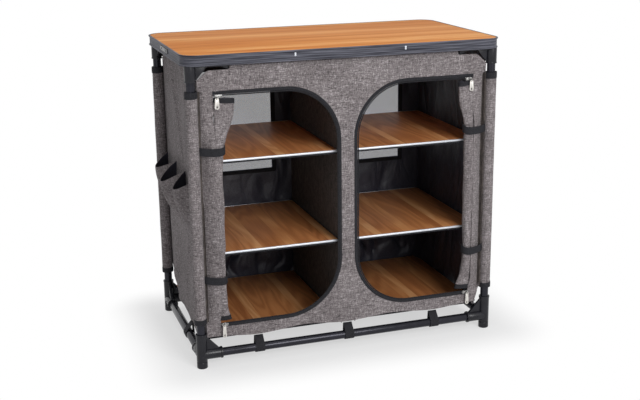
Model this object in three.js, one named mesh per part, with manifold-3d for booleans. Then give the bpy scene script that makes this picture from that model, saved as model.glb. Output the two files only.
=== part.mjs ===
// A folding camp kitchen cupboard: a rimmed worktop on four tube legs, a rectangle of base tubes,
// and a cloth cupboard between the legs with two rolled doors and six loose shelf boards.
// Millimetres. X runs to the right, Y to the back, Z up. The origin is on the floor, midway
// between the four feet.
import * as THREE from 'three';
import { mergeVertices } from 'three/addons/utils/BufferGeometryUtils.js';
import Module from 'manifold-3d';

const wasm = await Module();
wasm.setup();

// Overall size
const worktopWidth = 850;
const worktopDepth = 480;
const overallHeight = 810;
const worktopCornerRadius = 44;

// Clearances
const touchGap = 0.3; // between pieces that rest on or plug into each other
const slideGap = 0.6; // round a zipper slider on its tape
const clothGap = 0.5; // between a rolled door and its tie
const overrun = 1; // how far a cutting tool runs past the face that it cuts

// Worktop
const boardThickness = 13.5;
const boardBelowLip = 0.5;
const rimHeight = 27;
const rimLipProud = 2.5;
const rimLipHeight = 3.5;
const rimFootProud = 2;
const rimFootHeight = 3.5;
const rimWall = 2;
const rimSeatReach = 15;
const rimFlangeThickness = 2.4;
const rimFlangeReach = 19;
const rimGrooveWidth = 1.4;
const rimGrooveDepth = 0.7;
const rimGrooveSpacing = 3.6;
const rimGrooveStart = 3.4; // from the foot of the band to the lowest groove

// Legs and base tubes
const legInset = 23; // leg axis to the edges of the worktop
const legDiameter = 22;
const tubeWall = 1.5;
const fluteDepth = 0.9;
const fluteWidth = 3;
const fluteLength = 66;
const baseTubeDiameter = 22;
const baseTubeHeight = 36; // axis above the floor

// Feet and base connectors
const footHeight = 17.7;
const footEdgeRadius = 3;
const footSpigotHeight = 20;
const connectorWall = 2.7;
const connectorTop = 93;
const socketReach = 54; // leg axis to the mouth of a socket
const socketSeat = 18; // leg axis to the end of a base tube
const collarLength = 5;
const collarProud = 1.4;
const footGussetTop = 84;
const footGussetReach = 46;
const footGussetThickness = 8;

// Top brackets
const bracketSleeveLength = 40;
const bracketPlate = 3.7;
const bracketGussetDrop = 31;
const bracketGussetReach = 42;
const bracketGussetThickness = 6;
const bracketArmLength = 94;
const bracketArmWidth = 16;
const bracketWedgeLength = 22;
const bracketWedgeDrop = 8;

// Cloth cupboard
const panelThickness = 3;
const sleeveWall = 2;
const sleeveSlack = 2; // leg tube to the inside of its sleeve
const sleeveBottom = 122;
const sleeveTopDrop = 64; // below the rim
const seamLap = 5; // the seam that joins a sleeve to its side panel
const seamInset = 3.5;
const panelTopGap = 0.6;
const bracketClearance = 1.5;
const hemHeight = 83;
const hemSag = 16;
const cornerCutHeight = 150;
const cornerCutInset = 34;
const sideHemHeight = 62;
const floorPanelHeight = 66.5; // underside
const floorPanelThickness = 3;
const columnWidth = 48; // cloth between the two openings
const openingStrip = 37; // cloth between an opening and the side edge of the front panel
const openingTopDrop = 71; // below the rim
const openingBottom = 112;
const openingTopRadius = 140;
const openingBottomRadius = 148;
const dividerHalfWidth = 20;
const dividerWall = 2;
const dividerTopDrop = 8;

// Windows in the back panel
const windowInnerEdge = 76;
const windowSideStrip = 63.7; // cloth between a window and the side edge of the back panel
const windowBottom = 400;
const windowTopDrop = 83; // below the rim
const meshThickness = 1.2;
const meshLap = 8;

// Shelves
const upperShelfDrop = 242; // below the rim
const middleShelfTop = 300;
const shelfThickness = 9;
const shelfSideGap = 2;
const shelfFrontGap = 12.5;
const shelfBackGap = 6;
const shelfCornerRadius = 10;
const shelfTrimDepth = 5;
const shelfTrimProud = 0.8;
const ledgeThickness = 3;
const ledgeLap = 15;
const ledgeEndGap = 14;

// Side pockets
const pocketRearEdge = 190;
const pocketFrontEdge = -160;
const pocketBottom = 300;
const pocketRimHeight = 482;
const pocketRimDroop = 26;
const pocketBulge = 35.3;
const pocketCloth = 2.2;
const pocketCount = 3;

// Rolled doors and their ties
const rollEndGap = 12; // from the ends of the opening
const leftRoll = { topWidth: 53, waistWidth: 20, footWidth: 20 };
const rightRoll = { topWidth: 36, waistWidth: 25, footWidth: 35 };
const rollDepth = 28;
const rollTopDepth = 19;
const rollForward = 5; // the roll's centre ahead of the panel's middle, below the top
const rollTopForward = 1;
const rollEdgeGap = 0.5; // roll to the edge of its opening
const rollFoldDepth = 2.2;
const tieWidth = 20;
const tieThickness = 1.6;
const upperTieDrop = 138; // below the top of the roll
const lowerTieRise = 105; // above its foot

// Webbing loops on the base tubes
const strapWidth = 25;
const strapThickness = 1.8;
const strapSlack = 0.5;
const strapSpacing = 248;
const sideStrapOffset = 60;
const strapNoseRadius = 2.6;
const strapLean = 9; // how far the top of a loop leans in from the tube's axis

// Zipper sliders and pullers
const sliderLength = 18;
const sliderReach = 10; // past the edge of the opening
const sliderGrip = 2.5; // over the cloth
const sliderPlate = 1.4;
const topSliderInset = 15; // slider centre to the outer edge of the opening
const bottomSliderInset = 10;
const topPullerOffset = 6; // hinge to the slider's centre, outwards
const bottomPullerOffset = 3;
const pullerHingeForward = 10.5; // hinge axis in front of the panel
const topPullerLength = 29;
const bottomPullerLength = 34;
const topPullerWidth = 10;
const bottomPullerWidth = 8;
const pullerThickness = 1.6;
const pullerHoleRadius = 1.5;
const pullerHoleEdge = 3.6;
const pullerEyeRadius = 2.1;
const pullerEyeBore = 1.2;
const pullerEyeLength = 4.6;
const pullerNeck = 3.4;
const bailBarRadius = 0.85;
const bailPost = 1.4;
const bailGap = 0.35;
const topHingeDrop = 8.5; // hinge below the edge of the opening
const bottomHingeRise = 2;

// Counts
const tubeSides = 16;
const flutes = 6;
const cornerSteps = 6;
const arcSteps = 10;
const rollRings = 20;
const rollSides = 22;
const rollLobes = 4;
const pocketColumns = 8; // per pocket
const pocketRows = 7;
const smallSides = 8;

// Shares of the sizes that they follow
const edgeBreakShare = 0.25; // of a lip's height or an edge's radius
const hemCurveShare = 0.35; // of a panel's corner cut, where its curve is pulled to
const pocketSwellPower = 1.5;
const rollTwistShare = 0.7; // of a half turn, over the roll's length
const tieMeetShare = 0.25; // of a half turn, where a tie first meets its roll
const tieLeadShare = 0.25; // of the roll's depth, between the tie's strip and the roll
// Where the roll changes, as shares of its height from the bottom
const footEndShare = 0.16;
const waistEndShare = 0.68;
const topStartShare = 0.9;

// Places worked out from the sizes above
const rimBottom = overallHeight - rimHeight;
const legRadius = legDiameter / 2;
const legX = worktopWidth / 2 - legInset;
const legY = worktopDepth / 2 - legInset;
const legBore = legRadius + touchGap;
const connectorRadius = legBore + connectorWall;
const bracketTop = rimBottom - touchGap;
const legBottom = footHeight + touchGap;
const legTop = bracketTop - bracketPlate - touchGap;
const sleeveBore = legRadius + sleeveSlack;
const sleeveRadius = sleeveBore + sleeveWall;
const panelHalfWidth = legX - sleeveRadius - touchGap;
const panelTop = rimBottom - panelTopGap;
const bracketFoot = bracketTop - bracketPlate - bracketGussetDrop - 2 * bracketClearance;
const frontOuter = -legY - panelThickness / 2;
const frontInner = frontOuter + panelThickness;
const backInner = legY - panelThickness / 2;
const sideOuter = panelHalfWidth;
const sideInner = sideOuter - panelThickness;
const sideHalfDepth = backInner - touchGap;
const floorTop = floorPanelHeight + floorPanelThickness;
const sleeveTop = rimBottom - sleeveTopDrop;
const openingTop = rimBottom - openingTopDrop;
const windowTop = rimBottom - windowTopDrop;
const windowOuterEdge = panelHalfWidth - windowSideStrip;
const upperShelfTop = rimBottom - upperShelfDrop;
const rollBottom = openingBottom + rollEndGap;
const rollTop = openingTop - rollEndGap;
const openingOuterEdge = panelHalfWidth - openingStrip;
const openingInnerEdge = columnWidth / 2;
const lowerShelfTop = floorTop + touchGap + shelfThickness;
const shelfInnerEdge = dividerHalfWidth + shelfSideGap;
const shelfOuterEdge = sideInner - shelfSideGap;
const shelfFront = frontInner + shelfFrontGap;
const shelfBack = backInner - shelfBackGap;

// Finishes
const finish = (color, roughness, metalness = 0) =>
  new THREE.MeshStandardMaterial({ color, roughness, metalness });
const worktopWood = finish(0xd8955a, 0.45);
const shelfWood = finish(0x9a6238, 0.45);
const rimMetal = finish(0x3d3f49, 0.4, 0.8);
const tubeMetal = finish(0x47474f, 0.35, 0.7);
const blackPlastic = finish(0x34343a, 0.55);
const greyCloth = finish(0x8a8383, 0.95);
const windowMesh = finish(0x969aa2, 0.8);
const webbing = finish(0x2a2a2e, 0.9);
const zipMetal = finish(0xd6d4d0, 0.3, 0.9);

// Solid helpers

const toSolid = (geometry) => {
  const bare = geometry.clone();
  bare.deleteAttribute('normal');
  bare.deleteAttribute('uv');
  const merged = mergeVertices(bare);
  return new wasm.Manifold(new wasm.Mesh({
    numProp: 3,
    vertProperties: new Float32Array(merged.attributes.position.array),
    triVerts: new Uint32Array(merged.index.array),
  }));
};

const toGeometry = (solid) => {
  const mesh = solid.getMesh();
  const geometry = new THREE.BufferGeometry();
  geometry.setAttribute('position', new THREE.BufferAttribute(mesh.vertProperties, 3));
  geometry.setIndex(new THREE.BufferAttribute(mesh.triVerts, 1));
  geometry.computeVertexNormals();
  return geometry;
};

const join = (...geometries) => {
  const solids = geometries.map(toSolid);
  return toGeometry(solids.slice(1).reduce((whole, next) => whole.add(next), solids[0]));
};

const cut = (geometry, ...tools) =>
  toGeometry(tools.map(toSolid).reduce((whole, tool) => whole.subtract(tool), toSolid(geometry)));

const span = (a, b) => [Math.min(a, b), Math.max(a, b)];

const box = (xa, xb, ya, yb, za, zb) => {
  const [x0, x1] = span(xa, xb);
  const [y0, y1] = span(ya, yb);
  const [z0, z1] = span(za, zb);
  return new THREE.BoxGeometry(x1 - x0, y1 - y0, z1 - z0)
    .translate((x0 + x1) / 2, (y0 + y1) / 2, (z0 + z1) / 2);
};

// A shape is drawn in the two axes that the slab's name gives and is extruded along the third.
// An arc in it gets as many segments as steps says, which is twice its curveSegments.
const extrude = (shape, depth, steps) =>
  new THREE.ExtrudeGeometry(shape, { depth, bevelEnabled: false, curveSegments: steps / 2 });
const yzBasis = new THREE.Matrix4().makeBasis(
  new THREE.Vector3(0, 1, 0), new THREE.Vector3(0, 0, 1), new THREE.Vector3(1, 0, 0));
const slabXY = (shape, z0, depth, steps = arcSteps) => extrude(shape, depth, steps).translate(0, 0, z0);
const slabXZ = (shape, y0, depth, steps = arcSteps) =>
  extrude(shape, depth, steps).rotateX(Math.PI / 2).translate(0, y0 + depth, 0);
const slabYZ = (shape, x0, depth, steps = arcSteps) =>
  extrude(shape, depth, steps).applyMatrix4(yzBasis).translate(x0, 0, 0);

const rodZ = (radius, x, y, z0, z1, sides = tubeSides) =>
  new THREE.CylinderGeometry(radius, radius, z1 - z0, sides)
    .rotateX(Math.PI / 2).translate(x, y, (z0 + z1) / 2);
const rodX = (radius, xa, xb, y, z, sides = tubeSides) =>
  new THREE.CylinderGeometry(radius, radius, Math.abs(xb - xa), sides)
    .rotateZ(Math.PI / 2).translate((xa + xb) / 2, y, z);
const rodY = (radius, ya, yb, x, z, sides = tubeSides) =>
  new THREE.CylinderGeometry(radius, radius, Math.abs(yb - ya), sides)
    .translate(x, (ya + yb) / 2, z);

const outline = (points) => new THREE.Shape(points.map(([a, b]) => new THREE.Vector2(a, b)));

const roundedRectangle = (x0, x1, y0, y1, radius) => {
  const shape = new THREE.Shape();
  shape.moveTo(x0 + radius, y0);
  shape.lineTo(x1 - radius, y0);
  shape.absarc(x1 - radius, y0 + radius, radius, -Math.PI / 2, 0);
  shape.absarc(x1 - radius, y1 - radius, radius, 0, Math.PI / 2);
  shape.absarc(x0 + radius, y1 - radius, radius, Math.PI / 2, Math.PI);
  shape.absarc(x0 + radius, y0 + radius, radius, Math.PI, Math.PI * 1.5);
  return shape;
};

// Joins rings of points, each with as many points, into a closed skin. Open ends get a fan each;
// a looped skin joins its last ring to its first.
const skin = (rings, looped) => {
  const count = rings[0].length;
  const positions = rings.flat(2);
  const index = [];
  const last = looped ? rings.length : rings.length - 1;
  for (let r = 0; r < last; r += 1) {
    const here = r * count;
    const next = ((r + 1) % rings.length) * count;
    for (let i = 0; i < count; i += 1) {
      const j = (i + 1) % count;
      index.push(here + i, here + j, next + j, here + i, next + j, next + i);
    }
  }
  if (!looped) {
    const end = (rings.length - 1) * count;
    for (let i = 1; i < count - 1; i += 1) {
      index.push(0, i + 1, i);
      index.push(end, end + i, end + i + 1);
    }
  }
  const geometry = new THREE.BufferGeometry();
  geometry.setAttribute('position', new THREE.Float32BufferAttribute(positions, 3));
  geometry.setIndex(index);
  geometry.computeVertexNormals();
  return geometry;
};

const cupboard = new THREE.Group();
const addPiece = (name, geometry, material) => {
  const mesh = new THREE.Mesh(geometry, material);
  mesh.name = name;
  cupboard.add(mesh);
};

// The four corners, by name, with the side of X and of Y that each is on
const corners = [
  ['front_left', -1, -1],
  ['front_right', 1, -1],
  ['back_left', -1, 1],
  ['back_right', 1, 1],
];
const sides = [['left', -1], ['right', 1]];

// Worktop

const worktopBoard = () => {
  const edge = rimLipProud + rimWall + touchGap;
  const halfWidth = worktopWidth / 2 - edge;
  const halfDepth = worktopDepth / 2 - edge;
  const top = overallHeight - boardBelowLip;
  const shape = roundedRectangle(-halfWidth, halfWidth, -halfDepth, halfDepth,
    worktopCornerRadius - edge);
  return slabXY(shape, top - boardThickness, boardThickness, cornerSteps);
};

// The rim's section, as distances inwards from the outermost edge and heights
const rimSection = () => {
  const bandInset = rimLipProud;
  const footInset = rimLipProud - rimFootProud;
  const inside = rimLipProud + rimWall;
  const bandBottom = rimBottom + rimFootHeight;
  const seatTop = overallHeight - boardBelowLip - boardThickness - touchGap;
  const lipBreak = rimLipHeight * edgeBreakShare;
  const grooves = [0, 1, 2].flatMap((i) => {
    const start = bandBottom + rimGrooveStart + i * rimGrooveSpacing;
    const middle = start + rimGrooveWidth / 2;
    return [[bandInset, start], [bandInset + rimGrooveDepth, middle],
      [bandInset, start + rimGrooveWidth]];
  });
  return [
    [footInset, rimBottom],
    [footInset, bandBottom],
    [bandInset, bandBottom],
    ...grooves,
    [bandInset, overallHeight - rimLipHeight],
    [0, overallHeight - rimLipHeight],
    [0, overallHeight - lipBreak],
    [lipBreak, overallHeight],
    [inside, overallHeight],
    [inside, seatTop],
    [inside + rimSeatReach, seatTop],
    [inside + rimSeatReach, seatTop - rimFlangeThickness],
    [inside, seatTop - rimFlangeThickness],
    [inside, rimBottom + rimFlangeThickness],
    [inside + rimFlangeReach, rimBottom + rimFlangeThickness],
    [inside + rimFlangeReach, rimBottom],
  ];
};

const worktopRim = () => {
  const section = rimSection();
  const centreX = worktopWidth / 2 - worktopCornerRadius;
  const centreY = worktopDepth / 2 - worktopCornerRadius;
  const quarters = [[1, 1, 1], [1, -1, 0], [-1, -1, 3], [-1, 1, 2]];
  const stations = quarters.flatMap(([signX, signY, turn]) =>
    Array.from({ length: cornerSteps + 1 }, (_, i) => ({
      x: signX * centreX,
      y: signY * centreY,
      angle: (turn - i / cornerSteps) * Math.PI / 2,
    })));
  const rings = stations.map(({ x, y, angle }) => section.map(([inset, z]) => {
    const radius = worktopCornerRadius - inset;
    return [x + radius * Math.cos(angle), y + radius * Math.sin(angle), z];
  }));
  return skin(rings, true);
};

const topBracket = (signX, signY) => {
  const x = signX * legX;
  const y = signY * legY;
  const plateBottom = bracketTop - bracketPlate;
  const half = bracketGussetThickness / 2;
  const armHalf = bracketArmWidth / 2;
  const gussetBottom = plateBottom - bracketGussetDrop;
  // Distances from the leg axis towards the middle of the worktop, and heights
  const web = [
    [legBore, plateBottom + bracketPlate / 2],
    [legBore, gussetBottom],
    [connectorRadius, gussetBottom],
    [bracketGussetReach, plateBottom],
    [bracketGussetReach, plateBottom + bracketPlate / 2],
  ];
  const wedge = [
    [bracketArmLength - bracketWedgeLength, plateBottom + bracketPlate / 2],
    [bracketArmLength - bracketWedgeLength, plateBottom],
    [bracketArmLength, plateBottom - bracketWedgeDrop],
    [bracketArmLength, plateBottom + bracketPlate / 2],
  ];
  const alongX = (points) => slabXZ(outline(points.map(([r, z]) => [x - signX * r, z])),
    y - half, bracketGussetThickness);
  const alongY = (points) => slabYZ(outline(points.map(([r, z]) => [y - signY * r, z])),
    x - half, bracketGussetThickness);
  const body = join(
    rodZ(connectorRadius, x, y, bracketTop - bracketSleeveLength, bracketTop),
    box(x, x - signX * bracketArmLength, y - armHalf, y + armHalf, plateBottom, bracketTop),
    box(x - armHalf, x + armHalf, y, y - signY * bracketArmLength, plateBottom, bracketTop),
    alongX(web), alongY(web), alongX(wedge), alongY(wedge),
  );
  return cut(body, rodZ(legBore, x, y, bracketTop - bracketSleeveLength - overrun, plateBottom));
};

// Frame

const legTube = (signX, signY) => {
  const x = signX * legX;
  const y = signY * legY;
  const grooves = Array.from({ length: flutes }, (_, i) => {
    const angle = (i + 0.5) * 2 * Math.PI / flutes;
    const reach = legRadius - fluteDepth + fluteWidth / 2;
    return rodZ(fluteWidth / 2, x + reach * Math.cos(angle), y + reach * Math.sin(angle),
      legTop - fluteLength, legTop + overrun, smallSides);
  });
  const bore = rodZ(legRadius - fluteDepth - tubeWall, x, y, legBottom - overrun, legTop + overrun);
  return cut(rodZ(legRadius, x, y, legBottom, legTop), bore, ...grooves);
};

const baseConnector = (signX, signY) => {
  const x = signX * legX;
  const y = signY * legY;
  const z = baseTubeHeight;
  const bore = baseTubeDiameter / 2 + touchGap;
  const socketRadius = bore + connectorWall;
  const collarRadius = socketRadius + collarProud;
  const half = footGussetThickness / 2;
  const web = [
    [legBore, z],
    [footGussetReach, z],
    [footGussetReach, z + socketRadius],
    [connectorRadius, footGussetTop],
    [legBore, footGussetTop],
  ];
  const body = join(
    rodZ(connectorRadius, x, y, legBottom, connectorTop),
    rodX(socketRadius, x, x - signX * socketReach, y, z),
    rodX(collarRadius, x - signX * (socketReach - collarLength), x - signX * socketReach, y, z),
    rodY(socketRadius, y, y - signY * socketReach, x, z),
    rodY(collarRadius, y - signY * (socketReach - collarLength), y - signY * socketReach, x, z),
    slabXZ(outline(web.map(([r, h]) => [x - signX * r, h])), y - half, footGussetThickness),
    slabYZ(outline(web.map(([r, h]) => [y - signY * r, h])), x - half, footGussetThickness),
  );
  const boreStart = socketSeat - touchGap;
  return cut(body,
    rodZ(legBore, x, y, legBottom - overrun, connectorTop + overrun),
    rodX(bore, x - signX * boreStart, x - signX * (socketReach + overrun), y, z),
    rodY(bore, y - signY * boreStart, y - signY * (socketReach + overrun), x, z));
};

const foot = (signX, signY) => {
  const x = signX * legX;
  const y = signY * legY;
  const spigot = legRadius - fluteDepth - tubeWall - touchGap;
  const footBreak = footEdgeRadius * edgeBreakShare;
  const profile = [
    [0, 0],
    [connectorRadius - footEdgeRadius, 0],
    [connectorRadius - footBreak, footBreak],
    [connectorRadius, footEdgeRadius],
    [connectorRadius, footHeight],
    [spigot, footHeight],
    [spigot, footHeight + footSpigotHeight],
    [0, footHeight + footSpigotHeight],
  ];
  return new THREE.LatheGeometry(profile.map(([r, h]) => new THREE.Vector2(r, h)), tubeSides)
    .rotateX(Math.PI / 2).translate(x, y, 0);
};

const baseTubeBore = baseTubeDiameter / 2 - tubeWall;
const baseTubeAlongX = (signY) => {
  const end = legX - socketSeat;
  return cut(rodX(baseTubeDiameter / 2, -end, end, signY * legY, baseTubeHeight),
    rodX(baseTubeBore, -end - overrun, end + overrun, signY * legY, baseTubeHeight));
};
const baseTubeAlongY = (signX) => {
  const end = legY - socketSeat;
  return cut(rodY(baseTubeDiameter / 2, -end, end, signX * legX, baseTubeHeight),
    rodY(baseTubeBore, -end - overrun, end + overrun, signX * legX, baseTubeHeight));
};

// A webbing loop as a pear-shaped band: round the tube at the bottom, and up to a narrow nose
// under the floor panel. It is drawn with the tube's axis at zero and the lean to the right.
const strapBand = () => {
  const inner = baseTubeDiameter / 2 + strapSlack;
  const outer = inner + strapThickness;
  const rise = floorPanelHeight - touchGap - strapNoseRadius - baseTubeHeight;
  const noseBore = strapNoseRadius - strapThickness;
  const pear = (big, small) => {
    const distance = Math.hypot(strapLean, rise);
    const heading = Math.atan2(rise, strapLean);
    const spread = Math.acos((big - small) / distance);
    const arc = (cx, cy, radius, from, to) => Array.from({ length: smallSides + 1 }, (_, i) => {
      const angle = from + (to - from) * i / smallSides;
      return [cx + radius * Math.cos(angle), cy + radius * Math.sin(angle)];
    });
    return [
      ...arc(0, 0, big, heading + spread, heading + 2 * Math.PI - spread),
      ...arc(strapLean, rise, small, heading - spread, heading + spread),
    ];
  };
  const band = outline(pear(outer, strapNoseRadius));
  band.holes.push(new THREE.Path(pear(inner, noseBore).map(([a, b]) => new THREE.Vector2(a, b))));
  return band;
};

const strapAlongX = (signY, x) => {
  const band = slabYZ(strapBand(), x - strapWidth / 2, strapWidth)
    .translate(0, 0, baseTubeHeight);
  if (signY > 0) band.rotateZ(Math.PI).translate(2 * x, 0, 0);
  return band.translate(0, signY * legY, 0);
};
const strapAlongY = (signX) => {
  const y = -sideStrapOffset;
  const band = slabXZ(strapBand(), -strapWidth / 2, strapWidth).translate(0, 0, baseTubeHeight);
  if (signX > 0) band.rotateZ(Math.PI);
  return band.translate(signX * legX, y, 0);
};

// Cloth cupboard

// The outline that the front and back panels share: a sagging hem, lower corners that draw in,
// and upper corners cut away under the bracket's arms and gussets.
const endPanelShape = () => {
  const edge = panelHalfWidth;
  const hemEdge = edge - cornerCutInset;
  const wedgeBottom = bracketTop - bracketPlate - bracketWedgeDrop;
  const shoulder = wedgeBottom - bracketClearance;
  const shoulderX = legX - bracketArmLength - bracketClearance;
  const gussetX = legX - bracketGussetReach;
  const midX = edge - cornerCutInset * hemCurveShare;
  const midZ = hemHeight + (cornerCutHeight - hemHeight) * hemCurveShare;
  const shape = new THREE.Shape();
  shape.moveTo(-hemEdge, hemHeight);
  shape.quadraticCurveTo(0, hemHeight - hemSag, hemEdge, hemHeight);
  shape.quadraticCurveTo(midX, midZ, edge, cornerCutHeight);
  shape.lineTo(edge, bracketFoot);
  shape.lineTo(gussetX, shoulder);
  shape.lineTo(shoulderX, shoulder);
  shape.lineTo(shoulderX, panelTop);
  shape.lineTo(-shoulderX, panelTop);
  shape.lineTo(-shoulderX, shoulder);
  shape.lineTo(-gussetX, shoulder);
  shape.lineTo(-edge, bracketFoot);
  shape.lineTo(-edge, cornerCutHeight);
  shape.quadraticCurveTo(-midX, midZ, -hemEdge, hemHeight);
  return shape;
};

// A D lying on its straight outer edge, with a tighter curve at the top than at the bottom
const doorOpening = (sign) => {
  const inner = openingInnerEdge;
  const outer = openingOuterEdge;
  const hole = new THREE.Path();
  const at = (x) => sign * x;
  const curve = (centreX, centreZ, radius, from, to) => {
    for (let i = 0; i <= arcSteps; i += 1) {
      const angle = from + (to - from) * i / arcSteps;
      hole.lineTo(at(centreX - radius * Math.cos(angle)), centreZ + radius * Math.sin(angle));
    }
  };
  hole.moveTo(at(outer), openingTop);
  hole.lineTo(at(outer), openingBottom);
  curve(inner + openingBottomRadius, openingBottom + openingBottomRadius, openingBottomRadius,
    -Math.PI / 2, 0);
  curve(inner + openingTopRadius, openingTop - openingTopRadius, openingTopRadius,
    0, Math.PI / 2);
  hole.closePath();
  return hole;
};

const frontPanel = () => {
  const shape = endPanelShape();
  shape.holes.push(doorOpening(-1), doorOpening(1));
  return slabXZ(shape, frontOuter, panelThickness);
};

const backPanel = () => {
  const windows = [-1, 1].map((sign) => box(sign * windowInnerEdge, sign * windowOuterEdge,
    backInner - overrun, backInner + panelThickness + overrun, windowBottom, windowTop));
  return cut(slabXZ(endPanelShape(), backInner, panelThickness), ...windows);
};

const meshWindow = (sign) => box(
  sign * (windowInnerEdge - meshLap), sign * (windowOuterEdge + meshLap),
  backInner - touchGap - meshThickness, backInner - touchGap,
  windowBottom - meshLap, windowTop + meshLap);

const ledgeUndersides = [upperShelfTop, middleShelfTop]
  .map((top) => top - shelfThickness - touchGap - ledgeThickness);
const ledge = (xa, xb, z) => box(xa, xb, shelfFront + ledgeEndGap, shelfBack - ledgeEndGap,
  z, z + ledgeThickness);

const sidePanel = (sign) => {
  const half = sideHalfDepth;
  const hemHalf = half - cornerCutInset;
  const rise = sideHemHeight + (cornerCutHeight - sideHemHeight) * hemCurveShare;
  const bow = half - cornerCutInset * hemCurveShare;
  const shoulder = legY - bracketArmWidth / 2 - bracketClearance;
  const shape = new THREE.Shape();
  shape.moveTo(-hemHalf, sideHemHeight);
  shape.lineTo(hemHalf, sideHemHeight);
  shape.quadraticCurveTo(bow, rise, half, cornerCutHeight);
  shape.lineTo(half, bracketFoot);
  shape.lineTo(shoulder, bracketFoot);
  shape.lineTo(shoulder, panelTop);
  shape.lineTo(-shoulder, panelTop);
  shape.lineTo(-shoulder, bracketFoot);
  shape.lineTo(-half, bracketFoot);
  shape.lineTo(-half, cornerCutHeight);
  shape.quadraticCurveTo(-bow, rise, -hemHalf, sideHemHeight);
  const x0 = sign > 0 ? sideInner : -sideOuter;
  const pieces = [slabYZ(shape, x0, panelThickness)];
  for (const signY of [-1, 1]) {
    pieces.push(rodZ(sleeveRadius, sign * legX, signY * legY, sleeveBottom, sleeveTop));
    pieces.push(box(sign * (sideOuter - panelThickness / 2),
      sign * (legX - sleeveBore + touchGap),
      signY * (legY - seamInset), signY * (legY - seamInset - seamLap),
      sleeveBottom, sleeveTop));
  }
  for (const z of ledgeUndersides) {
    pieces.push(ledge(sign * (sideInner + panelThickness / 2),
      sign * (shelfOuterEdge - ledgeLap), z));
  }
  const bores = [-1, 1].map((signY) => rodZ(sleeveBore, sign * legX, signY * legY,
    sleeveBottom - overrun, sleeveTop + overrun));
  return cut(join(...pieces), ...bores);
};

// Two walls and the strip that joins them at the back
const divider = () => {
  const top = panelTop - dividerTopDrop;
  const bottom = floorTop + touchGap;
  const front = frontInner + touchGap;
  const back = backInner - touchGap;
  const inside = dividerHalfWidth - dividerWall;
  const pieces = [
    box(-dividerHalfWidth, -inside, front, back, bottom, top),
    box(inside, dividerHalfWidth, front, back, bottom, top),
    box(-dividerHalfWidth, dividerHalfWidth, back - dividerWall, back, bottom, top),
  ];
  for (const z of ledgeUndersides) {
    for (const [, sign] of sides) {
      pieces.push(ledge(sign * (dividerHalfWidth - dividerWall / 2),
        sign * (shelfInnerEdge + ledgeLap), z));
    }
  }
  return join(...pieces);
};

// Its corners are cut off clear of the base connectors' gussets.
const floorPanel = () => {
  const x = sideInner - touchGap;
  const y = sideHalfDepth;
  const corner = footGussetReach - (legX - x);
  const shape = outline([
    [-x, -y + corner], [-x + corner, -y], [x - corner, -y], [x, -y + corner],
    [x, y - corner], [x - corner, y], [-x + corner, y], [-x, y - corner],
  ]);
  return slabXY(shape, floorPanelHeight, floorPanelThickness);
};

// One strip of cloth sewn down in front of, behind and between the pockets. Its rim hangs
// outwards and droops in the middle of each pocket, and it meets the panel along its foot.
const sidePockets = () => {
  const columns = pocketCount * pocketColumns;
  const flat = sideOuter + touchGap;
  const bulgeAt = (u, v) => {
    const within = Math.sin(Math.PI * (u * pocketCount % 1));
    return pocketBulge * within * Math.sin(v * Math.PI / 2) ** pocketSwellPower;
  };
  const rimAt = (u) => pocketRimHeight - pocketRimDroop * Math.sin(Math.PI * (u * pocketCount % 1));
  const point = (c, r, proud) => {
    const u = c / columns;
    const v = r / pocketRows;
    return [
      -flat - bulgeAt(u, v) - proud,
      pocketFrontEdge + (pocketRearEdge - pocketFrontEdge) * u,
      pocketBottom + (rimAt(u) - pocketBottom) * v,
    ];
  };
  const rings = [];
  for (let c = 0; c <= columns; c += 1) {
    const outside = Array.from({ length: pocketRows + 1 }, (_, r) => point(c, r, pocketCloth));
    const inside = Array.from({ length: pocketRows + 1 }, (_, r) => point(c, pocketRows - r, 0));
    rings.push([...outside, ...inside]);
  }
  return skin(rings, false);
};

// Rolled doors

const smooth = (t) => t * t * (3 - 2 * t);
const blend = (a, b, t, from, to) =>
  a + (b - a) * smooth(Math.min(1, Math.max(0, (t - from) / (to - from))));
const rollAt = (sign, share) => {
  const roll = sign > 0 ? rightRoll : leftRoll;
  const low = blend(roll.footWidth, roll.waistWidth, share, 0, footEndShare);
  return {
    width: blend(low, roll.topWidth, share, waistEndShare, 1),
    depth: blend(rollDepth, rollTopDepth, share, waistEndShare, topStartShare),
    forward: blend(rollForward, rollTopForward, share, waistEndShare, topStartShare),
  };
};

const rolledDoor = (sign) => {
  const middleY = frontOuter + panelThickness / 2;
  const edge = openingOuterEdge - rollEdgeGap;
  const rings = Array.from({ length: rollRings + 1 }, (_, k) => {
    const share = k / rollRings;
    const { width, depth, forward } = rollAt(sign, share);
    const twist = share * Math.PI * rollTwistShare;
    return Array.from({ length: rollSides }, (__, i) => {
      const angle = i * 2 * Math.PI / rollSides;
      const fold = rollFoldDepth * (0.5 + 0.5 * Math.cos(rollLobes * angle + sign * twist));
      const acrossHalf = width / 2 - fold;
      const deepHalf = depth / 2 - fold;
      const x = edge - width / 2 + acrossHalf * Math.cos(angle);
      return [sign * x, middleY - forward + sign * deepHalf * Math.sin(angle),
        rollBottom + (rollTop - rollBottom) * share];
    });
  });
  return skin(rings, false);
};

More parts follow.
